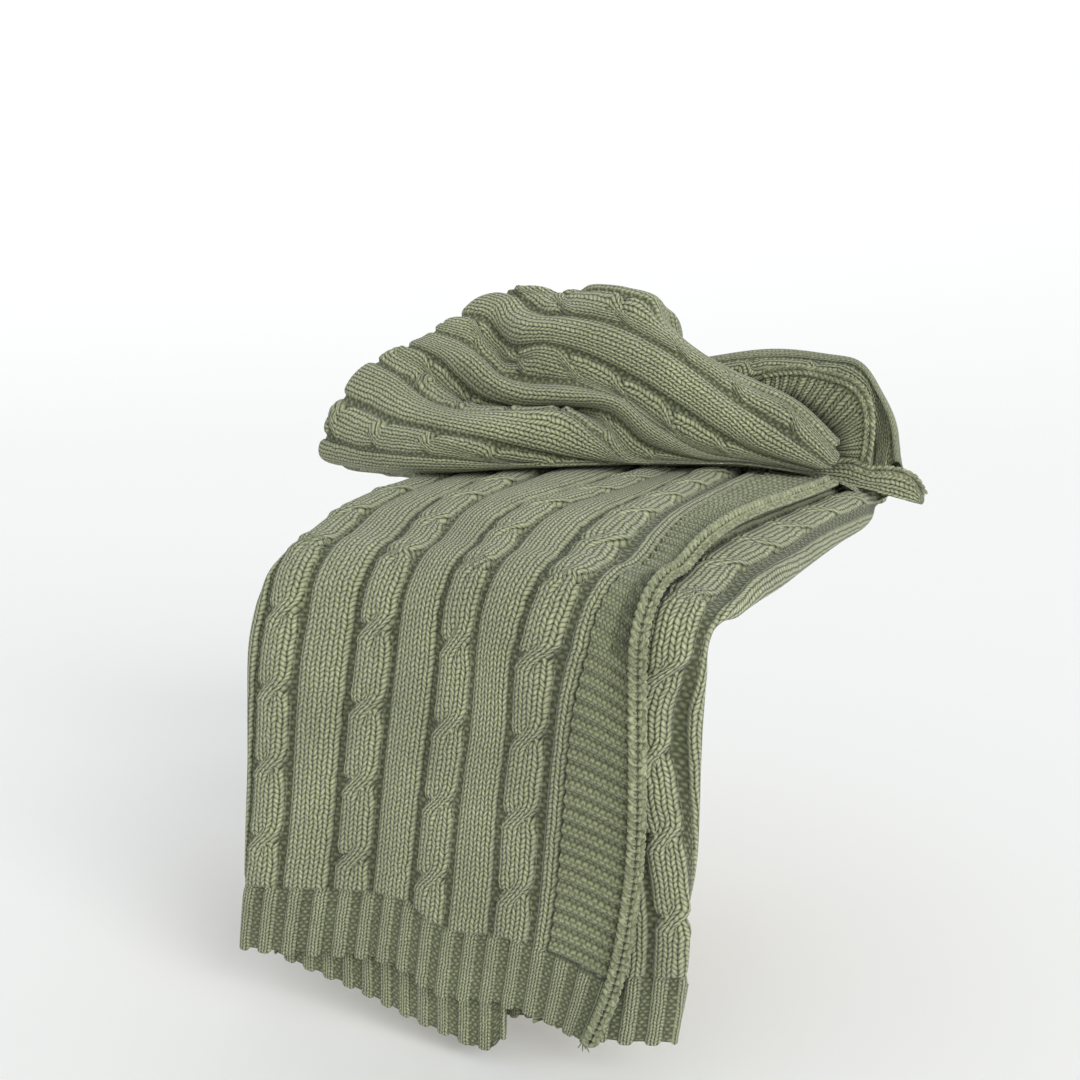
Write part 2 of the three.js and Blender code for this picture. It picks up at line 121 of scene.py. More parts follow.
# Levels of the layers: 4 is the outermost and 0 the innermost. The under layer's falls as the cloth comes to
# lie on the table, to a level that rises to the right.
UNDER_HANGING = 3.2
UNDER_LYING = (1, 3)
UNDER_PLACES = (0, 180)
UNDER_RUNS = (-160, -20)
PLEAT_LEVEL = 2.2
# The right layer's level rises from under the front layer to where it shows.
RIGHT_LEVELS = (1, 2.7)
RIGHT_PLACES = (262, 345)
FACE_FOLDS = 3.0  # mm that soft upright folds rise and fall on the face of the fall
FOLD_PITCH = 180.0
FIRST_FOLD = 15.0
# The columns are the run and how far out the face lies at the left, at the right and at the turned fold.
STAND_OFF = (
    (-380, 75, 34, 15),
    (-283, 69, 31, 17),
    (-200, 60, 30, 18),
    (-97, 51, 36, 15),
    (-30, 41, 38, 15),
    (0, 31, 39, 15),
    (17, 21, 38, 14),
    (38, 21, 34, 14),
    (60, 26, 38, 15),
    (85, 33, 45, 21),
    (131, 39, 52, 24),
    (197, 42, 54, 26),
    (260, 44, 52, 31),
    (330, 44, 50, 33),
    (400, 44, 48, 33),
    (480, 38, 40, 30),
)
EDGE_COLUMNS = ("run", "left", "under", "chain", "fold")
EDGES = (
    (-380, -18, 245, 318, 393),
    (-283, -14, 248, 357, 407),
    (-200, -12, 250, 372, 413),
    (0, -6, 250, 378, 420),
    (38, -5, 250, 377, 427),
    (85, -4, 250, 375, 422),
    (131, -4, 250, 375, 420),
    (197, -4, 250, 375, 413),
    (260, -4, 250, 376, 406),
    (330, -4, 250, 377, 400),
    (400, -4, 250, 374, 397),
    (440, -4, 250, 368, 391),
    (480, -4, 250, 362, 385),
)
# The lower edges: a place across and the run there.
HEMS = {
    "front": ((-18, -330), (49, -321), (89, -315), (150, -312), (188, -326), (245, -326), (280, -331),
        (330, -345)),
    "under": ((-18, -332), (35, -342), (88, -352), (141, -362), (194, -370), (228, -375), (240, -372),
        (248, -361)),
    "right": ((190, -372), (231, -360), (272, -350), (313, -346), (354, -342), (395, -334)),
}
LAST_EDGE = 200.0  # how far left the layer behind the right one reaches
FAR_RUNS = (392.0, 480.0)  # the far end, under the heap and at the corner
FAR_TURN = (300.0, 350.0)  # the places across between which it goes from one to the other
LEFT_INSET = 6.0  # the left fold's half circle begins this far inside its outline
FOLD_INSET = 8.0  # and the right one's
CHAIN_INSET = 3.0  # and the front layer's last leg this far inside the chained edge
FIRST_LEG = -0.4  # the front layer's leg at its left end
EDGE_LEGS = 4.1  # legs that turn back round an edge
UNDER_LEGS = (-78, -65)  # the under layer's last leg, and the one where it turns back
UNDER_LINES = 156
# The same legs, one between them and the first one, and where they lie across at the hem.
UNDER_ACROSS = ((-78, -69, -65, FIRST_LEG), (212, 247, 247, -12))
HIDDEN_LEGS = -16  # the right layer's first leg, under the front layer
HIDDEN_STEP = 2
SHOWN_LEGS = 32  # the last before it turns behind
TURNED_LEGS = 24  # from here on its thickness lies on the other side
PLAIN_LEGS = 27  # from here on its relief is pressed flat where it lies on the table
PRESSED = 0.85
LINING_LEGS = 84.0
LINING_STEP = 0.6
FRONT_MIDDLE = 200.0  # a place across between the front layer's two turned edges
FRONT_HEM = -325.0  # a run near the hem, at which the legs' places are read
RIGHT_HEM = -340.0
# The grid's rows from the hem to the far end, and how high its rows lie up the cloth's back above the hem.
FRONT_ROWS = 280
UNDER_ROWS = 150
RIGHT_ROWS = 246
HEM_WRAP = (4, 12, 22, 34, 48)
UNDER_WRAP = (4, 10, 18, 28, 40, 54, 70, 90)

# Where the middles of the front layer's cables and of its narrow column lie across.
# The columns are the run, the places of the four cables and that of the narrow column.
FRONT_LINES = (
    (-380, -8, 84, 166, 240, 269),
    (-300, 1, 94, 176, 253, 283),
    (-240, 8, 101, 183, 260, 292),
    (-180, 13, 106, 189, 264, 298),
    (-132, 15, 111, 196, 268, 303),
    (-84, 16, 116, 203, 274, 308),
    (-38, 18, 121, 207, 277, 315),
    (-12, 20, 123, 207, 281, 322),
    (15, 17, 124, 205, 291, 330),
    (50, 13, 117, 196, 288, 335),
    (98, 10, 105, 190, 282, 330),
    (150, 9, 97, 191, 278, 322),
    (218, 9, 88, 203, 271, 313),
    (278, 9, 80, 204, 262, 306),
    (336, 9, 74, 203, 254, 300),
    (400, 9, 68, 203, 246, 296),
)
# The same for the cable that shows on the right layer, past the chained edge.
RIGHT_LINES = (
    (-380, 384),
    (-300, 396),
    (-230, 400),
    (-164, 392),
    (-104, 382),
    (-40, 380),
    (0, 392),
    (60, 388),
    (182, 386),
    (290, 386),
    (400, 388),
)
# The legs at the front layer's places: the four cables, the narrow column and the chained edge.
FRONT_LEGS = (14.5, 35.5, 56.5, 77.5, 86.0, 103.0)
RIB_LINE = (83.2, 86.7)  # the narrow column between the last cable's groove and the side band
RIB_LINE_PROUD = 0.8
LAST_CABLE = CABLE_MIDDLE + 3 * REPEAT + CABLE_HALF * 1.1  # the leg where the front layer's last cable ends
WELTS_FROM = 87.0
WELTS_SLANT_FROM = (-40, 120)  # how far below the top's level their slope sets in and is full
EDGE_SINK = 2.0  # mm that the cloth sinks behind its chained edge
SINK_LEGS = (99.5, 101.5)
# On the right layer the purl groove past the cable widens to a strip.
RIGHT_STRIP = 19.2
STRIP_LEGS = 1.2

# The heap's fold lines, finer than the part's: a leg, and where the cloth lies along it, from the left end to
# the nose of the roll. The last line is the crest. These places, and those of the lobe, the band and the
# corner, were picked on the photograph, given a depth each, turned into mm along the camera's sight lines and
# corrected.
HEAP_FOLDS = (
    (-2, ((-145, 262, 33), (-97, 255, 33), (-41, 245, 35), (18, 240, 43), (67, 248, 51), (103, 265, 55),
        (147, 290, 57), (191, 312, 59), (246, 335, 59), (292, 356, 58), (343, 372, 53))),
    (4, ((-137, 222, 50), (-89, 207, 50), (-38, 198, 51), (14, 193, 55), (57, 205, 58), (96, 230, 60),
        (140, 262, 61), (191, 292, 62), (247, 322, 62), (295, 346, 61), (348, 365, 54))),
    (14.5, ((-116, 212, 96), (-80, 200, 88), (-40, 190, 84), (5, 186, 83), (46, 190, 79), (81, 212, 69),
        (122, 250, 62), (178, 285, 62), (243, 318, 63), (294, 343, 62), (350, 363, 55))),
    (25, ((-97, 232, 136), (-52, 220, 128), (-9, 210, 115), (36, 206, 108), (88, 216, 103), (129, 238, 94),
        (162, 262, 77), (190, 288, 63), (244, 316, 63), (294, 342, 62), (351, 362, 55))),
    (30.5, ((-84, 245, 151), (-43, 232, 141), (-3, 228, 120), (39, 226, 112), (91, 238, 115),
        (136, 258, 115), (169, 270, 89), (192, 290, 63), (243, 318, 64), (294, 343, 62), (351, 362, 56))),
    (35.5, ((-68, 257, 159), (-29, 252, 144), (-1, 256, 122), (27, 262, 110), (71, 280, 106),
        (123, 290, 106), (168, 284, 96), (193, 296, 69), (242, 320, 64), (293, 344, 62), (352, 362, 56))),
    (41, ((-53, 262, 168), (-11, 252, 158), (14, 252, 138), (40, 258, 119), (78, 272, 110), (131, 286, 113),
        (175, 284, 109), (205, 296, 82), (248, 320, 67), (296, 344, 64), (352, 362, 57))),
    (46, ((-39, 266, 173), (2, 256, 166), (30, 250, 157), (58, 252, 137), (90, 258, 127), (137, 270, 126),
        (181, 278, 123), (213, 294, 92), (252, 318, 70), (297, 343, 65), (353, 361, 58))),
    (51.5, ((-30, 272, 181), (10, 264, 176), (37, 266, 161), (57, 270, 144), (85, 276, 139),
        (133, 284, 137), (181, 292, 124), (218, 302, 99), (255, 320, 75), (298, 343, 66), (353, 361, 59))),
    (56.5, ((-21, 278, 187), (19, 272, 184), (37, 282, 166), (57, 283, 153), (96, 278, 160),
        (136, 288, 146), (185, 300, 123), (223, 308, 98), (260, 322, 80), (299, 343, 68), (354, 361, 59))),
    (62, ((-6, 288, 199), (29, 280, 198), (45, 284, 180), (69, 274, 172), (106, 276, 176), (149, 288, 165),
        (196, 300, 143), (236, 308, 120), (272, 320, 96), (303, 342, 75), (356, 361, 60))),
    (67, ((12, 296, 212), (42, 288, 211), (57, 280, 198), (81, 272, 192), (114, 278, 190), (158, 292, 179),
        (205, 304, 159), (245, 312, 134), (280, 322, 110), (309, 340, 82), (360, 360, 62))),
    (72, ((32, 305, 219), (55, 300, 219), (74, 294, 208), (98, 290, 203), (127, 292, 203), (166, 302, 195),
        (210, 314, 175), (250, 322, 150), (285, 332, 124), (322, 346, 99), (369, 364, 64))),
    (77.5, ((59, 315, 224), (81, 312, 218), (104, 306, 214), (126, 304, 213), (149, 304, 211),
        (178, 312, 203), (219, 322, 180), (256, 332, 158), (291, 344, 135), (331, 358, 114),
        (371, 372, 73))),
    (82, ((86, 325, 223), (103, 325, 219), (124, 320, 226), (145, 318, 228), (168, 318, 225),
        (191, 325, 216), (211, 334, 187), (247, 342, 164), (284, 352, 141), (333, 364, 119),
        (370, 376, 81))),
    (86, ((97, 345, 219), (106, 345, 221), (122, 335, 228), (142, 333, 229), (164, 333, 227),
        (191, 340, 219), (198, 350, 193), (229, 358, 167), (266, 368, 147), (325, 380, 122),
        (364, 388, 88))),
)
# Where the heap's cables cross: the leg of each cable, how far from the nose one crossing lies along it, and
# how far apart its crossings are, in mm. The same for the slope behind the crest and for the lobe.
HEAP_CROSSINGS = ((14.5, 26.0, 65.4), (35.5, 35.0, 52.0), (56.5, 4.0, 58.0), (77.5, 28.0, 66.0))
BACK_CROSSINGS = ((98.5, 30, 70.5), (119.5, 10, 70.5))
LOBE_CROSSINGS = ((14.5, 0, 70.5), (56.5, 30, 70.5))
# The heap's turns round its left end and round the nose of the roll: how far along and back each goes, and
# what part of its height above the heap's underside stays.
UNDERSIDE = 50.0
LEFT_TURN = ((22, 96, 0.1), (10, 80, 0.45), (2, 48, 0.82))
NOSE_TURN = ((2, 3, 0.95), (-2, 9, 0.85), (-26, 12, 0.7))
# Past the left turn the cloth hangs behind the fall's far end: how far along its foot lies, and how far back
# at least. It stays at the heap's underside left of the first place, and right of the second it reaches the
# table.
CURTAIN_ALONG = 26.0
CURTAIN_BACK = 388.0
CURTAIN_PLACES = (-80.0, -20.0)
CURTAIN_DROP = 1.0
# The heap's first line turns in below it, to this leg and at least this far back.
TUCK_LEG = -26.0
TUCK_STEP = 1.5
TUCK_BACK = 374.0
# The heap's face ends in a lip past its crest, and the slope behind begins inside the crest, in mm.
CREST_END = 88.0
CREST_LIP = (8.0, -4.0)
BACK_TUCK = 4.0
# The slope's legs, and how far behind the crest and at what part of its height each line past the first lies.
# BACK_ROOM is how much of the way back there is room for at each of the crest's places.
BACK_LEGS = (86.0, 95.0, 107.0, 117.0, 127.0)
HEAP_BACK = ((34, 0.93), (66, 0.7), (82, 0.36), (76, 0.0))
BACK_ROOM = (0.8, 0.8, 0.9, 1, 1.05, 1, 0.8, 0.6, 0.4, 0.25, 0.1)
BACK_LIMIT = 424.0

# The fold lines of the lobe and of the corner at its right, by leg, and of the band that curls before it, by
# place across the band. They go from left to right, the band's over the top and down round the nose.
LOBE_FOLDS = (
    (-6, ((214, 384, 50), (285, 384, 50), (328, 384, 49), (352, 385, 46), (371, 386, 43), (385, 387, 38),
        (393, 388, 30))),
    (1, ((212, 402, 58), (285, 406, 58), (328, 406, 56), (352, 406, 54), (375, 406, 51), (388, 406, 46),
        (395, 408, 40))),
    (12, ((200, 396, 119), (278, 418, 133), (338, 420, 134), (365, 424, 129), (385, 428, 109),
        (394, 430, 84), (396, 420, 55))),
    (17, ((196, 394, 139), (274, 424, 153), (339, 424, 153), (368, 424, 147), (391, 428, 125),
        (402, 430, 96), (406, 420, 57))),
    (21, ((190, 390, 147), (271, 428, 159), (339, 428, 159), (372, 426, 155), (393, 424, 129),
        (408, 422, 102), (416, 420, 64))),
    (27, ((184, 390, 149), (265, 440, 162), (336, 440, 161), (371, 438, 154), (396, 434, 126),
        (412, 430, 98), (419, 426, 61))),
    (36, ((180, 394, 122), (264, 456, 132), (325, 456, 131), (359, 454, 125), (389, 448, 105),
        (408, 442, 82), (419, 436, 50))),
    (50, ((186, 396, 61), (272, 448, 65), (325, 452, 65), (360, 450, 63), (392, 446, 58), (411, 440, 48),
        (422, 434, 38))),
    (62, ((190, 400, 10), (274, 438, 10), (326, 442, 10), (360, 440, 10), (380, 428, 12), (390, 420, 16),
        (396, 416, 22))),
)
BAND_FOLDS = (
    (0, ((280, 402, 143), (303, 402, 148), (328, 400, 150), (351, 400, 147), (369, 400, 143),
        (382, 400, 136), (391, 400, 124), (395, 401, 105), (394, 403, 83), (390, 406, 62))),
    (5, ((282, 399, 134), (303, 398, 136), (325, 396, 137), (344, 396, 134), (358, 396, 128),
        (371, 396, 120), (379, 397, 110), (383, 399, 97), (384, 401, 81), (383, 404, 63))),
    (10, ((283, 400, 125), (300, 398, 125), (319, 396, 125), (335, 396, 120), (348, 396, 113),
        (358, 397, 105), (366, 398, 98), (370, 399, 89), (372, 400, 78), (372, 403, 64))),
    (15, ((282, 406, 117), (295, 406, 115), (309, 405, 112), (323, 404, 106), (334, 404, 99),
        (343, 404, 92), (351, 404, 86), (355, 404, 81), (358, 404, 74), (359, 404, 64))),
)
CORNER_FOLDS = (
    (0, ((344, 388, 46), (369, 392, 42), (394, 392, 40), (416, 394, 36), (436, 400, 31), (449, 408, 27))),
    (3, ((344, 392, 52), (373, 396, 52), (397, 397, 47), (419, 400, 45), (438, 406, 40), (450, 411, 29))),
    (6, ((346, 398, 57), (376, 402, 61), (396, 404, 56), (417, 408, 57), (437, 412, 51), (449, 414, 33))),
    (9, ((346, 408, 51), (375, 412, 53), (394, 414, 49), (415, 418, 50), (433, 421, 45), (444, 421, 31))),
)
GRID_STEP = 2.6  # mm between the lines along the heap and the lobe

# The chained edges, in mm: half their width, the yarn's radius and the pitch of their stitches.
FRONT_CHAIN = (7.0, 2.8, 6.8)
BAND_CHAIN = (5.4, 1.9, 5.6)
CORNER_CHAIN = (5.0, 1.9, 5.6)
CHAIN_END = 380.0  # the run at which the front layer's goes in under the heap
CHAIN_PROUD = 1.2
LOOSE_OUT = (0.3, -1.0, 0.5)  # the way out of the cloth along the band's edge and the corner's
PLY_TURN = 5.5  # mm along the yarn for each turn of its plies
# The frayed strands at the front corner: how far each reaches right, back and down. They start this far above
# the hem, left of the edge and below the cloth's face.
YARN_ENDS = ((-5, -1, 10), (-1, 0.5, 13), (3, -0.5, 9), (6, 1, 12), (1, -2, 7))
YARN_START = (2.0, 10, 2)
YARN_RADIUS = 0.9
YARN_TAPER = 0.5  # how much thinner in radius a strand is at its end

# The stage, in metres and degrees: the floor curves up into a backdrop past its flat middle.
FLOOR_HALF = 12.0
FLOOR_PARTS = 96
FLAT_FLOOR = 3.0
FLOOR_CURVE = 30.0
KEY_AZIMUTH = 62.0
KEY_ELEVATION = 24.0
KEY_SPREAD = math.radians(36.0)
FILL_COLOUR = (0.96, 0.98, 1.0, 1.0)  # linear, a little cool
FILL_AZIMUTH = 90.0
FILL_SLOPE = 0.3  # how much brighter the fill is from there, and darker from the other side
CAMERA_AZIMUTH = 31.0
CAMERA_ELEVATION = 13.15
CAMERA_PLACE = (0.7798, -1.3502, 0.7756)
LENS = 55.5  # mm, on a sensor this wide
SENSOR = 36.0


class ThrowSettings(bpy.types.PropertyGroup):
    leg: FloatProperty(
        name="Leg", description="Width of half a stitch, in millimetres", default=4.05, min=2.0, max=8.0
    )
    course: FloatProperty(
        name="Course", description="Height of a row of stitches, in millimetres", default=4.7, min=1.5
    )
    hem_course: FloatProperty(
        name="Hem course", description="Height of a row in the hem, in millimetres", default=3.4, min=1.5
    )
    crossing: FloatProperty(
        name="Crossing", description="Distance between crossings, in millimetres", default=70.5, min=30.0
    )
    # The raised stitches' colour is a painted highlight and the groove colour is painted shade deep between
    # the stitches; mid is the yarn's own colour.
    painted_highlight: StringProperty(name="Lit yarn", description="Colour of raised stitches", default="aeb18e")
    mid: StringProperty(name="Yarn", description="Colour between the raised stitches", default="6e7556")
    groove: StringProperty(name="Groove", description="Colour deep between the stitches", default="1f241b")
    fleck: StringProperty(name="Fleck", description="Warm tint of the stray fibres", default="b9b06e")


class TableSettings(bpy.types.PropertyGroup):
    wood: StringProperty(name="Wood", description="Colour of the pale wood, as sRGB hex", default="c9b596")
    grain: StringProperty(name="Grain", description="Colour of its grain lines", default="a98f6c")


class StageSettings(bpy.types.PropertyGroup):
    floor: StringProperty(name="Floor", description="Colour of the backdrop, as sRGB hex", default="f6f6f4")
    key: FloatProperty(name="Key light", description="Strength of the main light", default=1.8, min=0.0)
    fill: FloatProperty(name="Fill", description="Strength of the even light", default=0.8, min=0.0)


# Small helpers


def linear(code):
    """An sRGB hex colour as linear red, green, blue and alpha."""
    parts = [int(code[i : i + 2], 16) / 255 for i in (0, 2, 4)]
    return [c / 12.92 if c <= 0.04045 else ((c + 0.055) / 1.055) ** 2.4 for c in parts] + [1.0]


def direction(azimuth, elevation):
    """The unit vector toward a place round the object: azimuth from the front to the right, in degrees."""
    azimuth, elevation = math.radians(azimuth), math.radians(elevation)
    flat = math.cos(elevation)
    return Vector((math.sin(azimuth) * flat, -math.cos(azimuth) * flat, math.sin(elevation)))


def spline(knots, values, at):
    """A smooth curve through values at knots, read at the places at. values may have further axes."""
    knots = np.asarray(knots, float)
    values = np.asarray(values, float)
    at = np.asarray(at, float)
    step = np.diff(knots)
    wide = step.reshape((-1,) + (1,) * (values.ndim - 1))
    slope = np.diff(values, axis=0) / wide
    tangent = np.empty_like(values)
    tangent[0], tangent[-1] = slope[0], slope[-1]
    tangent[1:-1] = (slope[:-1] * wide[1:] + slope[1:] * wide[:-1]) / (wide[:-1] + wide[1:])
    i = np.clip(np.searchsorted(knots, at) - 1, 0, len(knots) - 2)
    t = ((at - knots[i]) / step[i]).reshape((-1,) + (1,) * (values.ndim - 1))
    t = np.clip(t, 0, 1)
    h = step[i].reshape(t.shape)
    start = (1 + 2 * t) * (1 - t) ** 2 * values[i] + t * (1 - t) ** 2 * h * tangent[i]
    return start + t * t * (3 - 2 * t) * values[i + 1] + t * t * (t - 1) * h * tangent[i + 1]


def smooth(x, low, high):
    """A share that rises smoothly from 0 at low to 1 at high."""
    t = np.clip((x - low) / (high - low), 0, 1)
    return t * t * (3 - 2 * t)


def arch(x):
    """A half circle over -1 to 1, and nothing outside."""
    return np.sqrt(np.clip(1 - x * x, 0, 1))


def read(table, place, runs):
    """A column of a table at a grid of runs."""
    table = np.array(table, float)
    return spline(table[:, 0], table[:, place], runs.ravel()).reshape(runs.shape)


# The knit's relief. Each pattern gives the height above the knit columns' sides in mm, the leg coordinate
# that the stitches follow, and how far the stitches are purl.


def round_top(x, power=2.4):
    """A plump cross-section over -1 to 1 with steep sides, and nothing outside."""
    return np.sqrt(np.clip(1 - np.abs(x) ** power, 0, 1))


def cable_pattern(leg, course_mm, crossing):
    """Knit columns, purl grooves and cables. course_mm is counted from a crossing, upwards."""
    from_column = np.mod(leg - COLUMN_MIDDLE + REPEAT / 2, REPEAT) - REPEAT / 2
    in_column = np.abs(from_column) < COLUMN_HALF
    shoulder = arch(1 - np.clip((COLUMN_HALF - np.abs(from_column)) / COLUMN_SIDE, 0, 1))
    crown = COLUMN_CROWN * (1 - (from_column / COLUMN_HALF) ** 2)
    height = -PURL_DEPTH + in_column * (PURL_DEPTH + crown) * shoulder

    # a cable is a plump bead that narrows where its right strand crosses over to the left, going down;
    # the strand beneath ends as a rounded tongue above the crossing and starts again below it
    across = (np.mod(leg - CABLE_MIDDLE + REPEAT / 2, REPEAT) - REPEAT / 2) / CABLE_HALF
    t = np.mod(course_mm / crossing + 0.5, 1) - 0.5
    half, narrower, reach = CABLE_WAIST
    across = across / (half - narrower * np.exp(-((t / reach) ** 2)))
    in_cable = np.abs(across) < 1
    full = PURL_DEPTH + CABLE_PROUD
    bead = full * round_top(across)
    over_middle = STRAND_PLACE * np.sin(np.clip(t / STRAND_MOVES, -1, 1) * np.pi / 2)
    over_half = STRAND_HALF + STRAND_SWELL[0] * np.exp(-((t / STRAND_SWELL[1]) ** 2))
    over = (full + CROSSING_PROUD) * round_top((across - over_middle) / over_half)
    side = np.sign(t)
    tongue_end = arch(1 - np.clip((np.abs(t) - TONGUE_END[0]) / TONGUE_END[1], 0, 1))
    tongue = TONGUE_HIGH * full * round_top((across + side * STRAND_PLACE) / STRAND_HALF) * tongue_end
    merged = smooth(np.abs(t), *MERGED)
    relief = np.maximum(over, tongue) * (1 - merged) + bead * merged
    height = np.where(in_cable, -PURL_DEPTH + relief, height)
    on_tongue = (tongue > over) & (merged < 0.5)
    strand = np.where(on_tongue, across, across - over_middle + side * STRAND_PLACE)
    stitch = np.where(in_cable, strand * CABLE_HALF, from_column + COLUMN_HALF)
    return height, stitch, 1.0 - (in_column | in_cable)


def rib_pattern(leg):
    """The hem's rib: two knit stitches and two purl ones, finer than the body's."""
    q = np.mod(leg - RIB_FIRST, RIB_LEGS)
    knit = q < RIB_KNIT
    rise = arch(1 - np.clip(np.minimum(q, RIB_KNIT - q) / RIB_SIDES[0], 0, 1))
    bulge = arch(1 - np.clip(np.minimum(q - RIB_KNIT, RIB_LEGS - q) / RIB_SIDES[1], 0, 1))
    height = np.where(knit, RIB_RISE * rise, RIB_BULGE * bulge) - RIB_DEPTH
    return height, q / RIB_LEGS * 2 * RIB_STITCHES, 1.0 - knit


def welt_pattern(place_mm):
    """The side band's cross ridges, in close rows that are neither all knit nor all purl. It gives their
    courses in place of the leg coordinate."""
    q = place_mm / WELT_PITCH
    height = WELT_BASE + WELT_HEIGHT * np.cos(2 * np.pi * (q - 0.25))
    return height, q * WELT_COURSES, np.full_like(q, BAND_PURL)


def fan_pattern(place_mm):
    """The ribs of the band that fans out round the nose: knit stitches with deep grooves between."""
    q = np.mod(place_mm / FAN_PITCH, 1)
    height = -PURL_DEPTH + FAN_HEIGHT * round_top(2 * q - 1, 2.6)
    return height, place_mm / FAN_PITCH * 2 * FAN_STITCHES, 0 * q


# Grids


def normals_of(points):
    """Unit normals of a grid of points, by the cross product of its two directions."""
    across = np.gradient(points, axis=0)
    along = np.gradient(points, axis=1)
    normal = np.cross(across, along)
    length = np.linalg.norm(normal, axis=2, keepdims=True)
    return normal / np.maximum(length, 1e-9)


def grid_piece(name, points, stitches, purl, height):
    """A sheet whose vertices are placed at the points, with its stitch coordinates and masks."""
    across, along = points.shape[:2]
    mesh = bpy.data.meshes.new(name)
    shape = bmesh.new()
    bmesh.ops.create_grid(shape, x_segments=across - 1, y_segments=along - 1, size=1.0)
    shape.to_mesh(mesh)
    shape.free()
    count = len(mesh.vertices)
    place = np.empty(count * 3)
    mesh.vertices.foreach_get("co", place)
    place = place.reshape(-1, 3)
    i = np.rint((place[:, 0] + 1) / 2 * (across - 1)).astype(int)
    j = np.rint((place[:, 1] + 1) / 2 * (along - 1)).astype(int)
    world = TOP_ORIGIN + points[i, j] / 1000
    mesh.vertices.foreach_set("co", world.ravel())
    corner = np.empty(len(mesh.loops), int)
    mesh.loops.foreach_get("vertex_index", corner)
    layer = mesh.uv_layers.new(name="stitches")
    # the stitches repeat once a unit, so a face's corners may be moved by whole units to lie together
    uv = stitches[i, j][corner].reshape(-1, 4, 2)
    uv[:, :, 0] += np.rint(uv[:, :1, 0] - uv[:, :, 0])
    layer.data.foreach_set("uv", uv.ravel())
    # rise, the relief's height, also sets the painted shade that darkens the colour down into the grooves.
    for label, values in (("purl", purl), ("rise", height)):
        attribute = mesh.attributes.new(label, "FLOAT", "POINT")
        attribute.data.foreach_set("value", values[i, j].astype(float).ravel())
    mesh.polygons.foreach_set("use_smooth", np.ones(len(mesh.polygons), bool))
    mesh.update()
    piece = bpy.data.objects.new(name, mesh)
    bpy.context.scene.collection.objects.link(piece)
    return piece


def along_of(points):
    """The distance along each line of a grid, from its first point."""
    step = np.linalg.norm(np.diff(points, axis=1), axis=2)
    return np.concatenate([np.zeros((len(points), 1)), np.cumsum(step, axis=1)], axis=1)


def knit_piece(name, points, legs, pattern, settings):
    """A knitted sheet: its base grid raised by the pattern, given the knit material and attached to the root.
    """
    height, stitch, courses, purl = pattern
    pitch = np.linalg.norm(np.gradient(points, legs, axis=0), axis=2)
    height = height * np.clip(pitch / settings.leg, *RELIEF_LIMITS)
    raised = points + normals_of(points) * height[..., None]
    piece = grid_piece(name, raised, np.stack([stitch / 2, courses], axis=2), purl, height)
    piece.data.materials.append(knit_material(settings))
    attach(piece, "root")
    return piece


# The fall


def fall_points(x, off, run):
    """Places on the fall: off is the distance out of the table, at a run along it."""
    bend = math.pi / 2 * EDGE_ROUND
    angle = np.clip(run, 0, bend) / EDGE_ROUND
    y = EDGE_ROUND * (1 - np.cos(angle)) + np.maximum(run - bend, 0)
    z = EDGE_ROUND * (np.sin(angle) - 1) + np.minimum(run, 0)
    return np.stack([x, y - np.cos(angle) * off, z + np.sin(angle) * off], axis=2)


def edge(name, runs):
    """Where an edge or fold of the fall lies across, by its column's name."""
    return read(EDGES, EDGE_COLUMNS.index(name), runs)


def stand_off(level, x, runs):
    """How far the middle of a layer stands off the table, by its level."""
    left = edge("left", runs)
    share = np.clip((x - left) / (edge("chain", runs) - left), 0, 1)
    at_left, at_right = read(STAND_OFF, 1, runs), read(STAND_OFF, 2, runs)
    outer = at_left + (at_right - at_left) * share + MIDDLE_SWELL * np.sin(np.pi * share) - CLOTH / 2
    inner = LOWEST + EDGE_CLEARANCE * np.clip(1 - np.abs(runs - CLEARANCE_AT) / CLEARANCE_REACH, 0, 1)
    folds = FACE_FOLDS * np.cos(2 * np.pi * (x - FIRST_FOLD) / FOLD_PITCH) * (1 - smooth(runs, *FACE_FLAT))
    return inner + (outer + folds - inner) * level / 4


# Each face's distance out of the table. A level is a layer's place between the innermost and the outermost.


def under_level(x, runs):
    """The under layer's level, which falls where the cloth above it lies flat on the table."""
    left, right = UNDER_LYING
    lying = left + (right - left) * smooth(x, *UNDER_PLACES)
    return UNDER_HANGING + (lying - UNDER_HANGING) * smooth(runs, *UNDER_RUNS)


def front_face(x, runs):
    return stand_off(4, x, runs) + CLOTH / 2


def front_back(x, runs):
    return stand_off(4, x, runs) - CLOTH / 2


def under_face(x, runs):
    return stand_off(under_level(x, runs), x, runs) - CLOTH / 2


def pleat_face(x, runs):
    return stand_off(PLEAT_LEVEL, x, runs) + CLOTH / 2


def right_face(x, runs):
    left, right = RIGHT_LEVELS
    off = stand_off(left + (right - left) * smooth(x, *RIGHT_PLACES), x, runs)
    turned = read(STAND_OFF, 3, runs) - CLOTH / 2
    share = smooth(x, edge("chain", runs) - 10, edge("fold", runs) - 4)
    return off + (turned - off) * share + CLOTH / 2


def lining_face(x, runs):
    return stand_off(0, x, runs) - CLOTH / 2


def lining_back(x, runs):
    return stand_off(0, x, runs) + CLOTH / 2


def round_fold(w, fold, side, faces, runs):
    """Places across and stand-offs at distances w across the cloth: along one face up to the fold, round it
    by a half circle, and back along the other face. side is 1 for a fold at the right and -1 at the left."""
    past = side * (w - fold)
    start, end = faces[0](fold, runs), faces[1](fold, runs)
    radius = np.abs(start - end) / 2
    angle = np.clip(past / radius, 0, np.pi)
    back = fold - side * (past - np.pi * radius)
    before, turning = past <= 0, past < np.pi * radius
    x = np.where(before, w, np.where(turning, fold + side * radius * np.sin(angle), back))
    turned = (start + end) / 2 + (start - end) / 2 * np.cos(angle)
    off = np.where(before, faces[0](x, runs), np.where(turning, turned, faces[1](x, runs)))
    return x, off


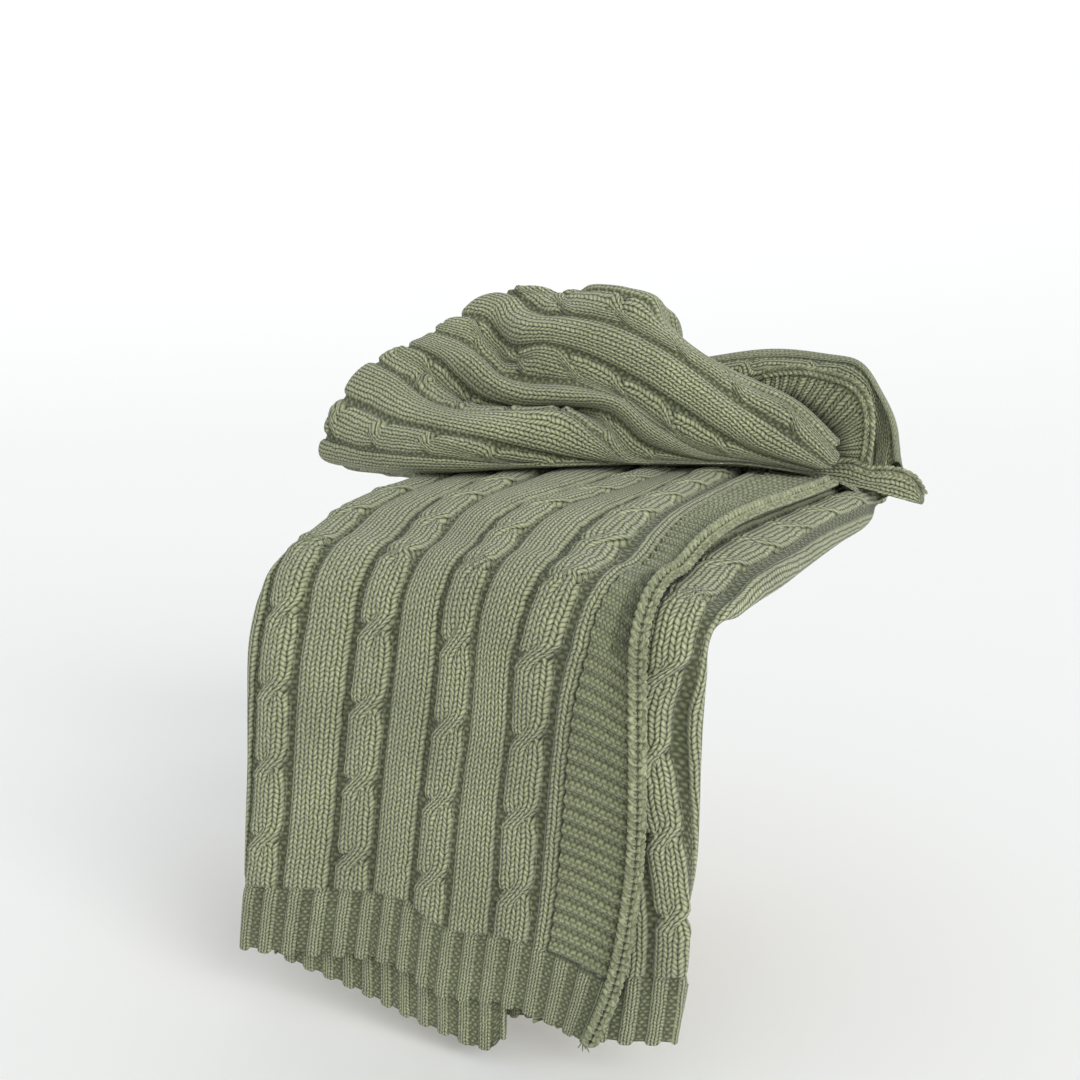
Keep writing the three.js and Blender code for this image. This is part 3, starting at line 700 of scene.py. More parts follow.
def fall_runs(hem, far, rows, wrap):
    """Runs of the fall's rows: down its back from inside the hem, round the hem and up its face to the far
    end. Also how deep each row lies in the cloth's thickness."""
    turn = np.radians([180, 144, 108, 72, 36])
    lower = np.concatenate([np.array(wrap, float)[::-1], -CLOTH / 2 * np.sin(turn)])
    depth = np.concatenate([np.full(len(wrap), CLOTH), CLOTH / 2 * (1 - np.cos(turn)), np.zeros(rows)])
    face_runs = hem[:, None] + (far - hem)[:, None] * np.linspace(0, 1, rows)
    return np.concatenate([hem[:, None] + lower, face_runs], axis=1), depth


def far_of(x):
    """The run of the far end at a place across."""
    return FAR_RUNS[0] + (FAR_RUNS[1] - FAR_RUNS[0]) * smooth(x, *FAR_TURN)


def hem_of(layer, x):
    """The run of a layer's lower edge at a place across."""
    places, runs = np.array(HEMS[layer], float).T
    return spline(places, runs, np.clip(x, places[0], places[-1]))


def fall_pattern(legs, points, runs, hem, settings):
    """The relief of the fall: columns and cables, gathered into the rib of the hem."""
    leg = np.broadcast_to(legs[:, None], runs.shape)
    along = along_of(points)
    face = np.argmax(np.diff(runs, axis=1) > 0, axis=1)
    crossed = np.array([np.interp(FIRST_CROSSING, r[k:], s[k:]) for r, s, k in zip(runs, along, face)])
    rib_top = hem + HEM_HEIGHT
    ribbed = np.array([np.interp(t, r[k:], s[k:]) for t, r, s, k in zip(rib_top, runs, along, face)])
    height, stitch, purl = cable_pattern(leg, along - crossed[:, None], settings.crossing)
    from_rib = along - ribbed[:, None]
    rib_height, rib_stitch, rib_purl = rib_pattern(leg)
    above_rib = runs - rib_top[:, None]
    in_rib = 1 - smooth(above_rib, *RIB_BLEND)
    height = height * (1 - in_rib) + rib_height * in_rib
    height = height - RIB_PINCH * np.exp(-((above_rib / PINCH_REACH) ** 2))
    hem_part = in_rib > 0.5
    stitch = np.where(hem_part, rib_stitch, stitch)
    purl = np.where(hem_part, rib_purl, purl)
    courses = from_rib / np.where(hem_part, settings.hem_course, settings.course)
    return height, stitch, courses, purl


def with_band(pattern, legs, points, runs, hem, settings):
    """The front layer's relief with its narrow column and side band at the right."""
    height, stitch, courses, purl = pattern
    leg = np.broadcast_to(legs[:, None], runs.shape)
    body = runs > (hem + HEM_HEIGHT)[:, None]
    middle, half = sum(RIB_LINE) / 2, (RIB_LINE[1] - RIB_LINE[0]) / 2
    narrow = -PURL_DEPTH + (PURL_DEPTH + RIB_LINE_PROUD) * arch((leg - middle) / half)
    in_line = body & (np.abs(leg - middle) < half)
    beside = body & (leg > LAST_CABLE)
    height = np.where(beside, narrow, height)
    purl = np.where(beside, 1.0 - in_line, purl)
    stitch = np.where(in_line, leg - RIB_LINE[0] + 0.4, stitch)
    slant = WELT_SLANT * (leg - WELTS_FROM) * settings.leg * smooth(-runs, *WELTS_SLANT_FROM)
    welt_height, welt_courses, welt_purl = welt_pattern(along_of(points) + slant)
    in_band = body & (leg > WELTS_FROM)
    height = np.where(in_band, welt_height, height)
    courses = np.where(in_band, welt_courses, courses)
    purl = np.where(in_band, welt_purl, purl)
    return height, np.where(in_band, leg * BAND_STITCHES, stitch), courses, purl


class THROW_OT_front(bpy.types.Operator):
    """Make the front layer of the fall and the fold at its left, which it turns round"""

    bl_idname = "throw.front"
    bl_label = "Front layer"

    def execute(self, context):
        settings = context.scene.throw
        last = FRONT_LEGS[-1]
        legs = np.concatenate([np.arange(FIRST_LEG, last, LEG_STEP), np.arange(last, last + EDGE_LEGS, 0.5)])
        places = front_places(legs, np.full((len(legs), 1), FRONT_HEM), settings)[:, 0]
        hem = hem_of("front", places)
        runs, depth = fall_runs(hem, far_of(places), FRONT_ROWS, HEM_WRAP)
        w = front_places(legs, runs, settings)
        left, chain = edge("left", runs) + LEFT_INSET, edge("chain", runs) - CLOTH / 2
        x, off = round_fold(w, left, -1, (front_face, under_face), runs)
        right_x, right_off = round_fold(w, chain, 1, (front_face, front_back), runs)
        at_right = w > FRONT_MIDDLE
        x, off = np.where(at_right, right_x, x), np.where(at_right, right_off, off)
        points = fall_points(x, off - depth, runs)
        pattern = fall_pattern(legs, points, runs, hem, settings)
        height, stitch, courses, purl = with_band(pattern, legs, points, runs, hem, settings)
        height = height - EDGE_SINK * smooth(legs, *SINK_LEGS)[:, None]
        pattern = (height, stitch, courses, purl)
        knit_piece("throw_front", points, legs, pattern, settings)
        return {"FINISHED"}


def front_places(legs, runs, settings):
    """Distances across the front layer of its legs: through the cables, and evenly spaced outside them."""
    last = edge("chain", runs) - CHAIN_INSET
    stops = np.array([read(FRONT_LINES, k, runs) for k in range(1, 6)] + [last])
    within = np.clip(legs, FRONT_LEGS[0], FRONT_LEGS[-1])
    w = np.array([spline(FRONT_LEGS, stops[:, i], within[i : i + 1])[0] for i in range(len(legs))])
    return w + ((legs - within) * settings.leg)[:, None]


class THROW_OT_under(bpy.types.Operator):
    """Make the layer under the front one, and the edge where it turns back"""

    bl_idname = "throw.under"
    bl_label = "Under layer"

    def execute(self, context):
        settings = context.scene.throw
        last, turn = UNDER_LEGS
        legs = np.linspace(last, FIRST_LEG, UNDER_LINES)
        hem = hem_of("under", np.interp(legs, *UNDER_ACROSS))
        runs, depth = fall_runs(hem, far_of(0 * legs), UNDER_ROWS, UNDER_WRAP)
        join = front_places(np.full(len(legs), FIRST_LEG), runs, settings)
        start, _ = round_fold(join, edge("left", runs) + LEFT_INSET, -1, (front_face, under_face), runs)
        turned = edge("under", runs)
        share = np.clip((legs - FIRST_LEG) / (turn - FIRST_LEG), 0, 1)[:, None]
        w = start + (turned - start) * share + (np.maximum(turn - legs, 0) * settings.leg)[:, None]
        x, off = round_fold(w, turned, 1, (under_face, pleat_face), runs)
        points = fall_points(x, off + depth, runs)
        pattern = fall_pattern(legs, points, runs, hem, settings)
        knit_piece("throw_under", points, legs, pattern, settings)
        return {"FINISHED"}


class THROW_OT_right(bpy.types.Operator):
    """Make the right layer of the fall, its fold and the lining layer behind it"""

    bl_idname = "throw.right"
    bl_label = "Right layer"

    def execute(self, context):
        settings = context.scene.throw
        hidden = np.arange(HIDDEN_LEGS, 0, HIDDEN_STEP)
        shown = np.arange(0, SHOWN_LEGS, LEG_STEP)
        behind = np.arange(SHOWN_LEGS, LINING_LEGS, LINING_STEP)
        turned = np.arange(LINING_LEGS, LINING_LEGS + EDGE_LEGS, 0.5)
        legs = np.concatenate([hidden, shown, behind, turned])
        level = np.full((len(legs), 1), RIGHT_HEM)
        across = right_section(right_places(legs, level, settings), level)[0][:, 0]
        hem = hem_of("right", across)
        runs, depth = fall_runs(hem, far_of(across), RIGHT_ROWS, HEM_WRAP)
        x, off = right_section(right_places(legs, runs, settings), runs)
        points = fall_points(x, off - depth * np.where(legs > TURNED_LEGS, -1, 1)[:, None], runs)
        strip = np.clip(legs - RIGHT_STRIP, 0, STRIP_LEGS)
        height, stitch, courses, purl = fall_pattern(legs - strip, points, runs, hem, settings)
        stitch = stitch + strip[:, None] * (purl > 0.5)
        height = height * (1 - PRESSED * smooth(runs, -40, 0) * (legs[:, None] > PLAIN_LEGS))
        knit_piece("throw_right", points, legs, (height, stitch, courses, purl), settings)
        return {"FINISHED"}


def right_turn(runs):
    """Where the right layer's fold begins, and what place and distance across add up to behind it."""
    fold = edge("fold", runs) - FOLD_INSET
    radius = (right_face(fold, runs) - lining_face(fold, runs)) / 2
    return fold, 2 * fold + np.pi * radius


def right_places(legs, runs, settings):
    """Distances across the right layer of its legs: even from its cable, and the last follow the lining."""
    from_cable = np.minimum(legs, SHOWN_LEGS) - CABLE_MIDDLE
    evenly = read(RIGHT_LINES, 1, runs) + (from_cable * settings.leg)[:, None]
    last = right_turn(runs)[1] - LAST_EDGE
    share = np.clip((legs - SHOWN_LEGS) / (LINING_LEGS - SHOWN_LEGS), 0, 1)[:, None]
    return evenly + (last - evenly) * share + (np.maximum(legs - LINING_LEGS, 0) * settings.leg)[:, None]


def right_section(w, runs):
    """The right layer's places and stand-offs: its face, its fold, the lining and the lining's edge."""
    fold, both = right_turn(runs)
    x, off = round_fold(w, fold, 1, (right_face, lining_face), runs)
    last = np.full_like(w, LAST_EDGE)
    edge_x, edge_off = round_fold(both - w, last, -1, (lining_face, lining_back), runs)
    at_edge = w > both - LAST_EDGE - 1
    return np.where(at_edge, edge_x, x), np.where(at_edge, edge_off, off)


# The heap


def folds_grid(folds, legs, spacing):
    """A fine grid through fold lines: legs across them and courses along them, from right to left."""
    knots = [leg for leg, _ in folds]
    lines = np.array([line for _, line in folds], float)
    across = spline(knots, lines, legs)
    chords = np.linalg.norm(np.diff(across, axis=1), axis=2).mean(axis=0)
    steps = np.maximum(np.rint(chords / spacing), 1).astype(int)
    at = np.concatenate([np.arange(n) / n + k for k, n in enumerate(steps)] + [[len(steps)]])
    stations = range(len(chords) + 1)
    points = spline(stations, across.transpose(1, 0, 2), at).transpose(1, 0, 2)
    return points[:, ::-1]


def heap_pattern(points, legs, crossings, settings):
    """The relief of the heap: columns and cables, each cable with crossings of its own place and spacing."""
    along = along_of(points)
    cables, first, apart = np.array(crossings).T
    first = np.interp(legs, cables, first)[:, None]
    apart = np.interp(legs, cables, apart)[:, None]
    leg = np.broadcast_to(legs[:, None], along.shape)
    height, stitch, purl = cable_pattern(leg, (along - first) / apart * settings.crossing, settings.crossing)
    to_end = along[:, -1:] - along
    relief = SLACK_RELIEF * (1 - END_SLACK * (1 - smooth(to_end, *LEFT_SLACK)))
    relief = relief * (1 - END_SLACK * (1 - smooth(along, *RIGHT_SLACK)))
    return height * relief, stitch, along / settings.course, purl


def turned_line(line):
    """A fold line of the heap with its turns at the left end, where it hangs down, and at the nose."""

    def moved(point, turn):
        along, back, high = turn
        x, y, z = point
        return x + along, min(y + back, BACK_LIMIT), UNDERSIDE + (z - UNDERSIDE) * high

    left = [moved(line[0], turn) for turn in LEFT_TURN]
    x, y, z = left[0]
    down = float(smooth(x, *CURTAIN_PLACES))
    foot_y = y + (max(y, CURTAIN_BACK) - y) * down
    foot_z = z + (LOWEST - z) * down - CURTAIN_DROP
    left.insert(0, (line[0][0] + CURTAIN_ALONG, foot_y, foot_z))
    right = [moved(line[-1], turn) for turn in NOSE_TURN]
    return [*left, *line, *right]


class THROW_OT_heap(bpy.types.Operator):
    """Make the heap's visible folds and the slope behind its crest"""

    bl_idname = "throw.heap"
    bl_label = "Heap"

    def execute(self, context):
        settings = context.scene.throw
        folds = [(leg, turned_line(line)) for leg, line in HEAP_FOLDS]
        first = folds[0][0]
        folds.insert(0, (TUCK_LEG, [(x, max(y, TUCK_BACK), z) for x, y, z in folds[0][1]]))
        crest = HEAP_FOLDS[-1][1]
        lip_y, lip_z = CREST_LIP
        folds.append((CREST_END, turned_line([(x, y + lip_y, z + lip_z) for x, y, z in crest])))
        tucked = np.arange(TUCK_LEG, first, TUCK_STEP)
        legs = np.concatenate([tucked, np.arange(first, CREST_END + 0.01, LEG_STEP)])
        points = folds_grid(folds, legs, GRID_STEP)
        pattern = heap_pattern(points, legs, HEAP_CROSSINGS, settings)
        knit_piece("throw_heap", points, legs, pattern, settings)
        slopes = [[(x, y - BACK_TUCK, z - BACK_TUCK) for x, y, z in crest]]
        for back, high in HEAP_BACK:
            behind = [min(y + back * room, BACK_LIMIT) for (x, y, z), room in zip(crest, BACK_ROOM)]
            slopes.append([(x, y, max(z * high, LOWEST)) for (x, _, z), y in zip(crest, behind)])
        back_legs = np.arange(BACK_LEGS[0], BACK_LEGS[-1] + 0.01, 0.5)
        points = folds_grid(list(zip(BACK_LEGS, slopes)), back_legs, 3)
        pattern = heap_pattern(points, back_legs, BACK_CROSSINGS, settings)
        knit_piece("throw_back", points, back_legs, pattern, settings)
        return {"FINISHED"}


class THROW_OT_lobe(bpy.types.Operator):
    """Make the lobe behind the roll, the ribbed band that curls before it, and the corner"""

    bl_idname = "throw.lobe"
    bl_label = "Lobe and band"

    def execute(self, context):
        settings = context.scene.throw
        legs = np.arange(LOBE_FOLDS[0][0], LOBE_FOLDS[-1][0] + 0.01, 0.4)
        points = folds_grid(LOBE_FOLDS, legs, GRID_STEP)
        pattern = heap_pattern(points, legs, LOBE_CROSSINGS, settings)
        knit_piece("throw_lobe", points, legs, pattern, settings)

        places = np.arange(0, BAND_FOLDS[-1][0] + 0.01, 0.5)
        points = folds_grid(BAND_FOLDS, places, 1.4)
        course = along_of(points)
        height, stitch, purl = fan_pattern(np.broadcast_to(course[:1], course.shape))
        courses = np.broadcast_to(places[:, None] * FAN_COURSES, course.shape)
        knit_piece("throw_band", points, places, (height, stitch, courses, purl), settings)

        places = np.arange(0, CORNER_FOLDS[-1][0] + 0.01, LEG_STEP)
        points = folds_grid(CORNER_FOLDS, places, 2.4)
        course = along_of(points)
        stitch = np.broadcast_to(places[:, None], course.shape)
        plain = (0 * course, stitch, course / settings.course, 0 * course)
        knit_piece("throw_corner", points, places, plain, settings)
        return {"FINISHED"}


# Edges and loose yarn


def tube(name, rings):
    """A tube through rings of points, with its ends closed to a point. Its stitch coordinates wind round it
    within one leg of a stitch, so that its plies show as soft slanting bands."""
    along = along_of(rings)
    around = np.broadcast_to(np.linspace(0, 1, len(rings))[:, None], along.shape)
    plain = np.zeros(along.shape)
    ply = 0.25 + 0.15 * np.cos(2 * np.pi * (around * 2 + along / PLY_TURN))
    piece = grid_piece(name, rings, np.stack([ply, plain + 0.5], axis=2), plain, plain)
    shape = bmesh.new()
    shape.from_mesh(piece.data)
    bmesh.ops.remove_doubles(shape, verts=shape.verts, dist=1e-6)
    bmesh.ops.recalc_face_normals(shape, faces=shape.faces)
    shape.to_mesh(piece.data)
    shape.free()
    return piece


def unit(vectors):
    """The vectors' directions, of length 1."""
    return vectors / np.linalg.norm(vectors, axis=-1, keepdims=True)


def rings_of(path, radii, beside, sides=6):
    """Rings of points about a path, the first repeated at the end, and the path's ends drawn in to points.
    beside is any direction that is never along the path."""
    forward = unit(np.gradient(path, axis=0))
    side = unit(np.cross(forward, beside))
    up = np.cross(side, forward)
    angles = np.linspace(0, 2 * np.pi, sides + 1)
    radii = np.array(radii, float)
    radii[[0, -1]] = 0
    circle = side * np.cos(angles)[:, None, None] + up * np.sin(angles)[:, None, None]
    return path + radii[None, :, None] * circle


def merge(name, pieces, settings):
    """Join several meshes into one piece of yarn."""
    shape = bmesh.new()
    for piece in pieces:
        shape.from_mesh(piece.data)
    pieces[0].name = name
    shape.to_mesh(pieces[0].data)
    shape.free()
    for piece in pieces[1:]:
        bpy.data.objects.remove(piece)
    pieces[0].data.materials.append(knit_material(settings))
    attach(pieces[0], "root")


def chained_edge(name, path, out, chain, settings):
    """An edge of chained stitches: V after V along a path, each leg rising from inside the V before it.
    out points away from the cloth at the path's points."""
    half_width, yarn, pitch = chain
    length = np.concatenate([[0], np.cumsum(np.linalg.norm(np.diff(path, axis=0), axis=1))])
    # a leg's points: it leaves the middle of its V, swells out and up, and comes in again under the next V
    share = np.array([0, 0.12, 0.35, 0.62, 0.86, 1])
    core = path - unit(out) * yarn * 1.2
    legs = [tube(f"{name}_core", rings_of(core, np.full(len(core), yarn), out))]
    for start in np.arange(0, length[-1] - pitch * 1.7, pitch):
        for side in (-1, 1):
            at = start + share * pitch * 1.5
            place, outward = spline(length, path, at), unit(spline(length, out, at))
            sideways = unit(np.cross(spline(length, path, at + 0.5) - place, outward))
            across = side * half_width * (0.06 + 0.7 * np.sin(share * np.pi * 0.6))
            rise = yarn * (0.9 * np.sin(np.pi * share) - 0.35)
            line = place + sideways * across[:, None] + outward * rise[:, None]
            radii = yarn * (0.75 + 0.3 * np.sin(np.pi * share))
            legs.append(tube(f"{name}_leg", rings_of(line, radii, outward)))
    merge(name, legs, settings)


class THROW_OT_edges(bpy.types.Operator):
    """Chain the knitted edges and fray the yarn end at the front corner"""

    bl_idname = "throw.edges"
    bl_label = "Chained edges"

    def execute(self, context):
        settings = context.scene.throw
        hem = HEMS["front"][-1][1]
        runs = np.linspace(hem - 1, CHAIN_END, 124)[None, :]
        x = edge("chain", runs) - CLOTH / 2
        off = front_face(x, runs) + CHAIN_PROUD
        path, raised = fall_points(x, off, runs)[0], fall_points(x + 0.5, off + 1, runs)[0]
        chained_edge("edge_front", path, raised - path, FRONT_CHAIN, settings)
        band = ("edge_band", BAND_FOLDS[0][1], BAND_CHAIN)
        corner = ("edge_corner", CORNER_FOLDS[2][1], CORNER_CHAIN)
        for name, line, chain in (band, corner):
            line = np.array(line, float)
            path = spline(range(len(line)), line, np.linspace(0, len(line) - 1, 60))
            chained_edge(name, path, np.broadcast_to(LOOSE_OUT, path.shape), chain, settings)
        above, inside, below = YARN_START
        run = np.array([[hem + above]])
        x = edge("chain", run) - inside
        start = fall_points(x, front_face(x, run) - below, run)[0, 0]
        drop = np.linspace(0, 1, 9)
        ends = []
        for k, (right, back, length) in enumerate(YARN_ENDS):
            reach = np.stack([right * drop**1.4, back * drop, -length * drop], axis=1)
            rings = rings_of(start + reach, YARN_RADIUS - YARN_TAPER * drop, [0.8, -0.6, 0], 5)
            ends.append(tube(f"yarn_end_{k}", rings))
        merge("yarn_end", ends, settings)
        return {"FINISHED"}


# Materials

MATH = "ShaderNodeMath"
VECTOR_MATH = "ShaderNodeVectorMath"
LEG_CLIMB = 0.8  # courses that a knit leg climbs from the middle of its V to its outer end


def node(tree, kind, inputs=None, **settings):
    """Add a node with its settings. An input is a value, or a socket or a node's first output to link."""
    made = tree.nodes.new(kind)
    for key, value in settings.items():
        setattr(made, key, value)
    for key, value in (inputs or {}).items():
        if isinstance(value, bpy.types.Node):
            value = value.outputs[0]
        if isinstance(value, bpy.types.NodeSocket):
            tree.links.new(value, made.inputs[key])
        else:
            made.inputs[key].default_value = value
    return made


def new_material(name):
    """An empty material and its node tree."""
    made = bpy.data.materials.new(name)
    made.use_nodes = True
    made.node_tree.nodes.clear()
    return made, made.node_tree


def knit_material(settings):
    """Sage worsted yarn, plain-plied and a little hairy: matt, with a soft sheen, painted shade in the gaps
    and grooves between stitches and a painted highlight on their raised legs."""
    name = "sage_knit"
    if name in bpy.data.materials:
        return bpy.data.materials[name]
    made, tree = new_material(name)
    stitches = node(tree, "ShaderNodeUVMap", uv_map="stitches")
    where = node(tree, "ShaderNodeTexCoord").outputs["Object"]
    purl = node(tree, "ShaderNodeAttribute", attribute_name="purl").outputs["Fac"]
    rise = node(tree, "ShaderNodeAttribute", attribute_name="rise").outputs["Fac"]

    # hand-knit stitches never sit quite true: they wander by a fifth of a stitch or so over 9 mm
    wander = node(tree, "ShaderNodeTexNoise", {"Vector": where, "Scale": 110.0, "Detail": 1.0})
    centred = {0: wander.outputs["Color"], 1: (0.5, 0.5, 0.5)}
    centred = node(tree, VECTOR_MATH, centred, operation="SUBTRACT")
    moved = node(tree, VECTOR_MATH, {0: centred, 1: (0.35, 0.8, 0.0), 2: stitches}, operation="MULTIPLY_ADD")
    split = node(tree, "ShaderNodeSeparateXYZ", {0: moved})
    u, v = split.outputs[0], split.outputs[1]

    # a knit stitch is a V of two plump legs: side runs from the middle of the V to its outer edge, each leg
    # climbs as it leans out, and its oval sinks a little between one leg and the next above it
    whole = node(tree, MATH, {0: u}, operation="FRACT")
    middle = node(tree, MATH, {0: whole, 1: 0.5}, operation="SUBTRACT")
    half = node(tree, MATH, {0: middle}, operation="ABSOLUTE")
    side = node(tree, MATH, {0: half, 1: 2.0}, operation="MULTIPLY")
    climb = node(tree, MATH, {0: half, 1: -2.0 * LEG_CLIMB, 2: v}, operation="MULTIPLY_ADD")
    across = node(tree, MATH, {0: side, 1: 0.5}, operation="PINGPONG")
    along = node(tree, MATH, {0: climb, 1: 0.5}, operation="PINGPONG")
    from_middle = node(tree, MATH, {0: across, 1: -2.0, 2: 1.0}, operation="MULTIPLY_ADD")
    from_centre = node(tree, MATH, {0: along, 1: -2.0, 2: 1.0}, operation="MULTIPLY_ADD")
    wide = node(tree, MATH, {0: from_middle, 1: 2.4}, operation="POWER")
    long = node(tree, MATH, {0: from_centre, 1: 3.0}, operation="POWER")
    narrowed = node(tree, MATH, {0: wide, 1: -0.72, 2: 1.0}, operation="MULTIPLY_ADD")
    knit = node(tree, MATH, {0: long, 1: -0.5, 2: narrowed}, operation="MULTIPLY_ADD", use_clamp=True)

    # a purl stitch is a short bump, and the bumps of one row sit between those of the next
    turn = node(tree, MATH, {0: u, 1: 2 * math.pi}, operation="MULTIPLY")
    rows = node(tree, MATH, {0: v, 1: math.pi}, operation="MULTIPLY")
    bumps_across = node(tree, MATH, {0: turn}, operation="COSINE")
    bumps_along = node(tree, MATH, {0: rows}, operation="COSINE")
    bumps = node(tree, MATH, {0: bumps_across, 1: bumps_along}, operation="MULTIPLY")
    row_turn = node(tree, MATH, {0: v, 1: 2 * math.pi}, operation="MULTIPLY")
    row_wave = node(tree, MATH, {0: row_turn}, operation="COSINE")
    row_base = node(tree, MATH, {0: row_wave, 1: 0.14, 2: 0.58}, operation="MULTIPLY_ADD")
    purl_bump = node(tree, MATH, {0: bumps, 1: 0.28, 2: row_base}, operation="MULTIPLY_ADD")
    stitch = node(tree, "ShaderNodeMix", {0: purl, 2: knit, 3: purl_bump}, data_type="FLOAT")

    # a noise's scale is 1000 mm over its size: 0.7 mm for the fibres and ply, 2.4 mm for the mottle, 3.3 mm
    # for flecks of paler wool and 71 mm for the dye's drift
    fibre = node(tree, "ShaderNodeTexNoise", {"Vector": where, "Scale": 1400.0, "Detail": 2.0})
    mottle = node(tree, "ShaderNodeTexNoise", {"Vector": where, "Scale": 420.0, "Detail": 3.0})
    fleck = node(tree, "ShaderNodeTexNoise", {"Vector": where, "Scale": 300.0, "Detail": 2.0})
    drift = node(tree, "ShaderNodeTexNoise", {"Vector": where, "Scale": 14.0, "Detail": 3.0})

    # The stitch's height picks its colour: painted shade in the gaps between stitches, the yarn's own colour
    # on their sides and a painted highlight on their raised middles.
    colour = node(tree, "ShaderNodeValToRGB", {0: stitch})
    ramp = colour.color_ramp.elements
    ramp[0].position, ramp[0].color = 0.04, linear(settings.groove)
    ramp[1].position, ramp[1].color = 0.96, linear(settings.painted_highlight)
    between = ramp.new(0.45)
    between.color = linear(settings.mid)
    # Painted shade: the colour darkens with the relief's depth, to about half in the deepest purl grooves,
    # and also varies with the dye's drift and the mottle.
    depth = node(tree, "ShaderNodeMapRange", {0: rise, 1: -PURL_DEPTH, 2: 0.5, 3: 0.52, 4: 1.0})
    drifted = node(tree, "ShaderNodeMapRange", {0: drift, 1: 0.3, 2: 0.7, 3: 0.88, 4: 1.1})
    mottled = node(tree, "ShaderNodeMapRange", {0: mottle, 1: 0.3, 2: 0.7, 3: 0.76, 4: 1.2})
    groove_shade_and_drift = node(tree, MATH, {0: depth, 1: drifted}, operation="MULTIPLY")
    painted_shade_and_tone = node(tree, MATH, {0: groove_shade_and_drift, 1: mottled}, operation="MULTIPLY")
    grey = node(tree, "ShaderNodeCombineXYZ", {0: painted_shade_and_tone, 1: painted_shade_and_tone, 2: painted_shade_and_tone})
    darkened = {0: 1.0, 6: colour, 7: grey}
    shaded = node(tree, "ShaderNodeMix", darkened, data_type="RGBA", blend_type="MULTIPLY")
    warm = node(tree, "ShaderNodeMapRange", {0: fleck, 1: 0.55, 2: 0.75, 3: 0.0, 4: 0.35})
    tinted = {0: warm, 6: shaded.outputs[2], 7: linear(settings.fleck)}
    flecked = node(tree, "ShaderNodeMix", tinted, data_type="RGBA", blend_type="SOFT_LIGHT")

    fine = node(tree, "ShaderNodeBump", {"Height": fibre, "Strength": 0.4, "Distance": 0.0005})
    plump = {"Height": stitch, "Strength": 1.0, "Distance": 0.0019, "Normal": fine}
    raised = node(tree, "ShaderNodeBump", plump)
    wool = {
        "Base Color": flecked.outputs[2],
        "Roughness": 0.92,
        "IOR": 1.5,
        "Specular IOR Level": 0.25,
        "Sheen Weight": 0.25,
        "Sheen Roughness": 0.5,
        "Normal": raised,
    }
    surface = node(tree, "ShaderNodeBsdfPrincipled", wool)
    node(tree, "ShaderNodeOutputMaterial", {0: surface})
    return made


def wood_material(settings, name, grain):
    """Pale planed beech under a thin satin oil: fine straight grain, short darker rays and soft gloss. grain
    is how closely it varies along each axis, per metre."""
    made, tree = new_material(name)
    where = node(tree, "ShaderNodeTexCoord").outputs["Object"]
    mapped = node(tree, "ShaderNodeMapping", {"Vector": where, "Scale": grain})
    wander = node(tree, "ShaderNodeTexNoise", {"Vector": mapped, "Scale": 3.0, "Detail": 6.0}).outputs["Fac"]
    finer = node(tree, "ShaderNodeMapping", {"Vector": where, "Scale": [15 * g for g in grain]})
    rays = node(tree, "ShaderNodeTexNoise", {"Vector": finer}).outputs["Fac"]
    tone = node(tree, "ShaderNodeValToRGB", {0: wander})
    tone.color_ramp.elements[0].position = 0.35
    tone.color_ramp.elements[0].color = linear(settings.grain)
    tone.color_ramp.elements[1].position = 0.62
    tone.color_ramp.elements[1].color = linear(settings.wood)
    fleck = node(tree, "ShaderNodeMapRange", {0: rays, 1: 0.62, 2: 0.72, 3: 0.0, 4: 0.4}).outputs[0]
    rayed = {0: fleck, 6: tone, 7: linear(settings.grain)}
    colour = node(tree, "ShaderNodeMix", rayed, data_type="RGBA").outputs[2]
    bump = node(tree, "ShaderNodeBump", {"Height": wander, "Strength": 0.2, "Distance": 0.0004})
    satin = {"Base Color": colour, "Roughness": 0.45, "IOR": 1.5, "Normal": bump}
    surface = node(tree, "ShaderNodeBsdfPrincipled", satin)
    node(tree, "ShaderNodeOutputMaterial", {0: surface})
    return made


class THROW_OT_table(bpy.types.Operator):
    """Give the table's CAD pieces their wood"""

    bl_idname = "throw.table"
    bl_label = "Table wood"

    def execute(self, context):
        settings = context.scene.throw_table
        flat = wood_material(settings, "pale_beech", (2.2, 40.0, 40.0))
        upright = wood_material(settings, "pale_beech_upright", (40.0, 40.0, 2.2))
        for name, wood in (("table_top", flat), ("pedestal_stem", upright), ("pedestal_foot", flat)):
            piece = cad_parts[name]
            piece.data.materials.clear()
            piece.data.materials.append(wood)
        return {"FINISHED"}


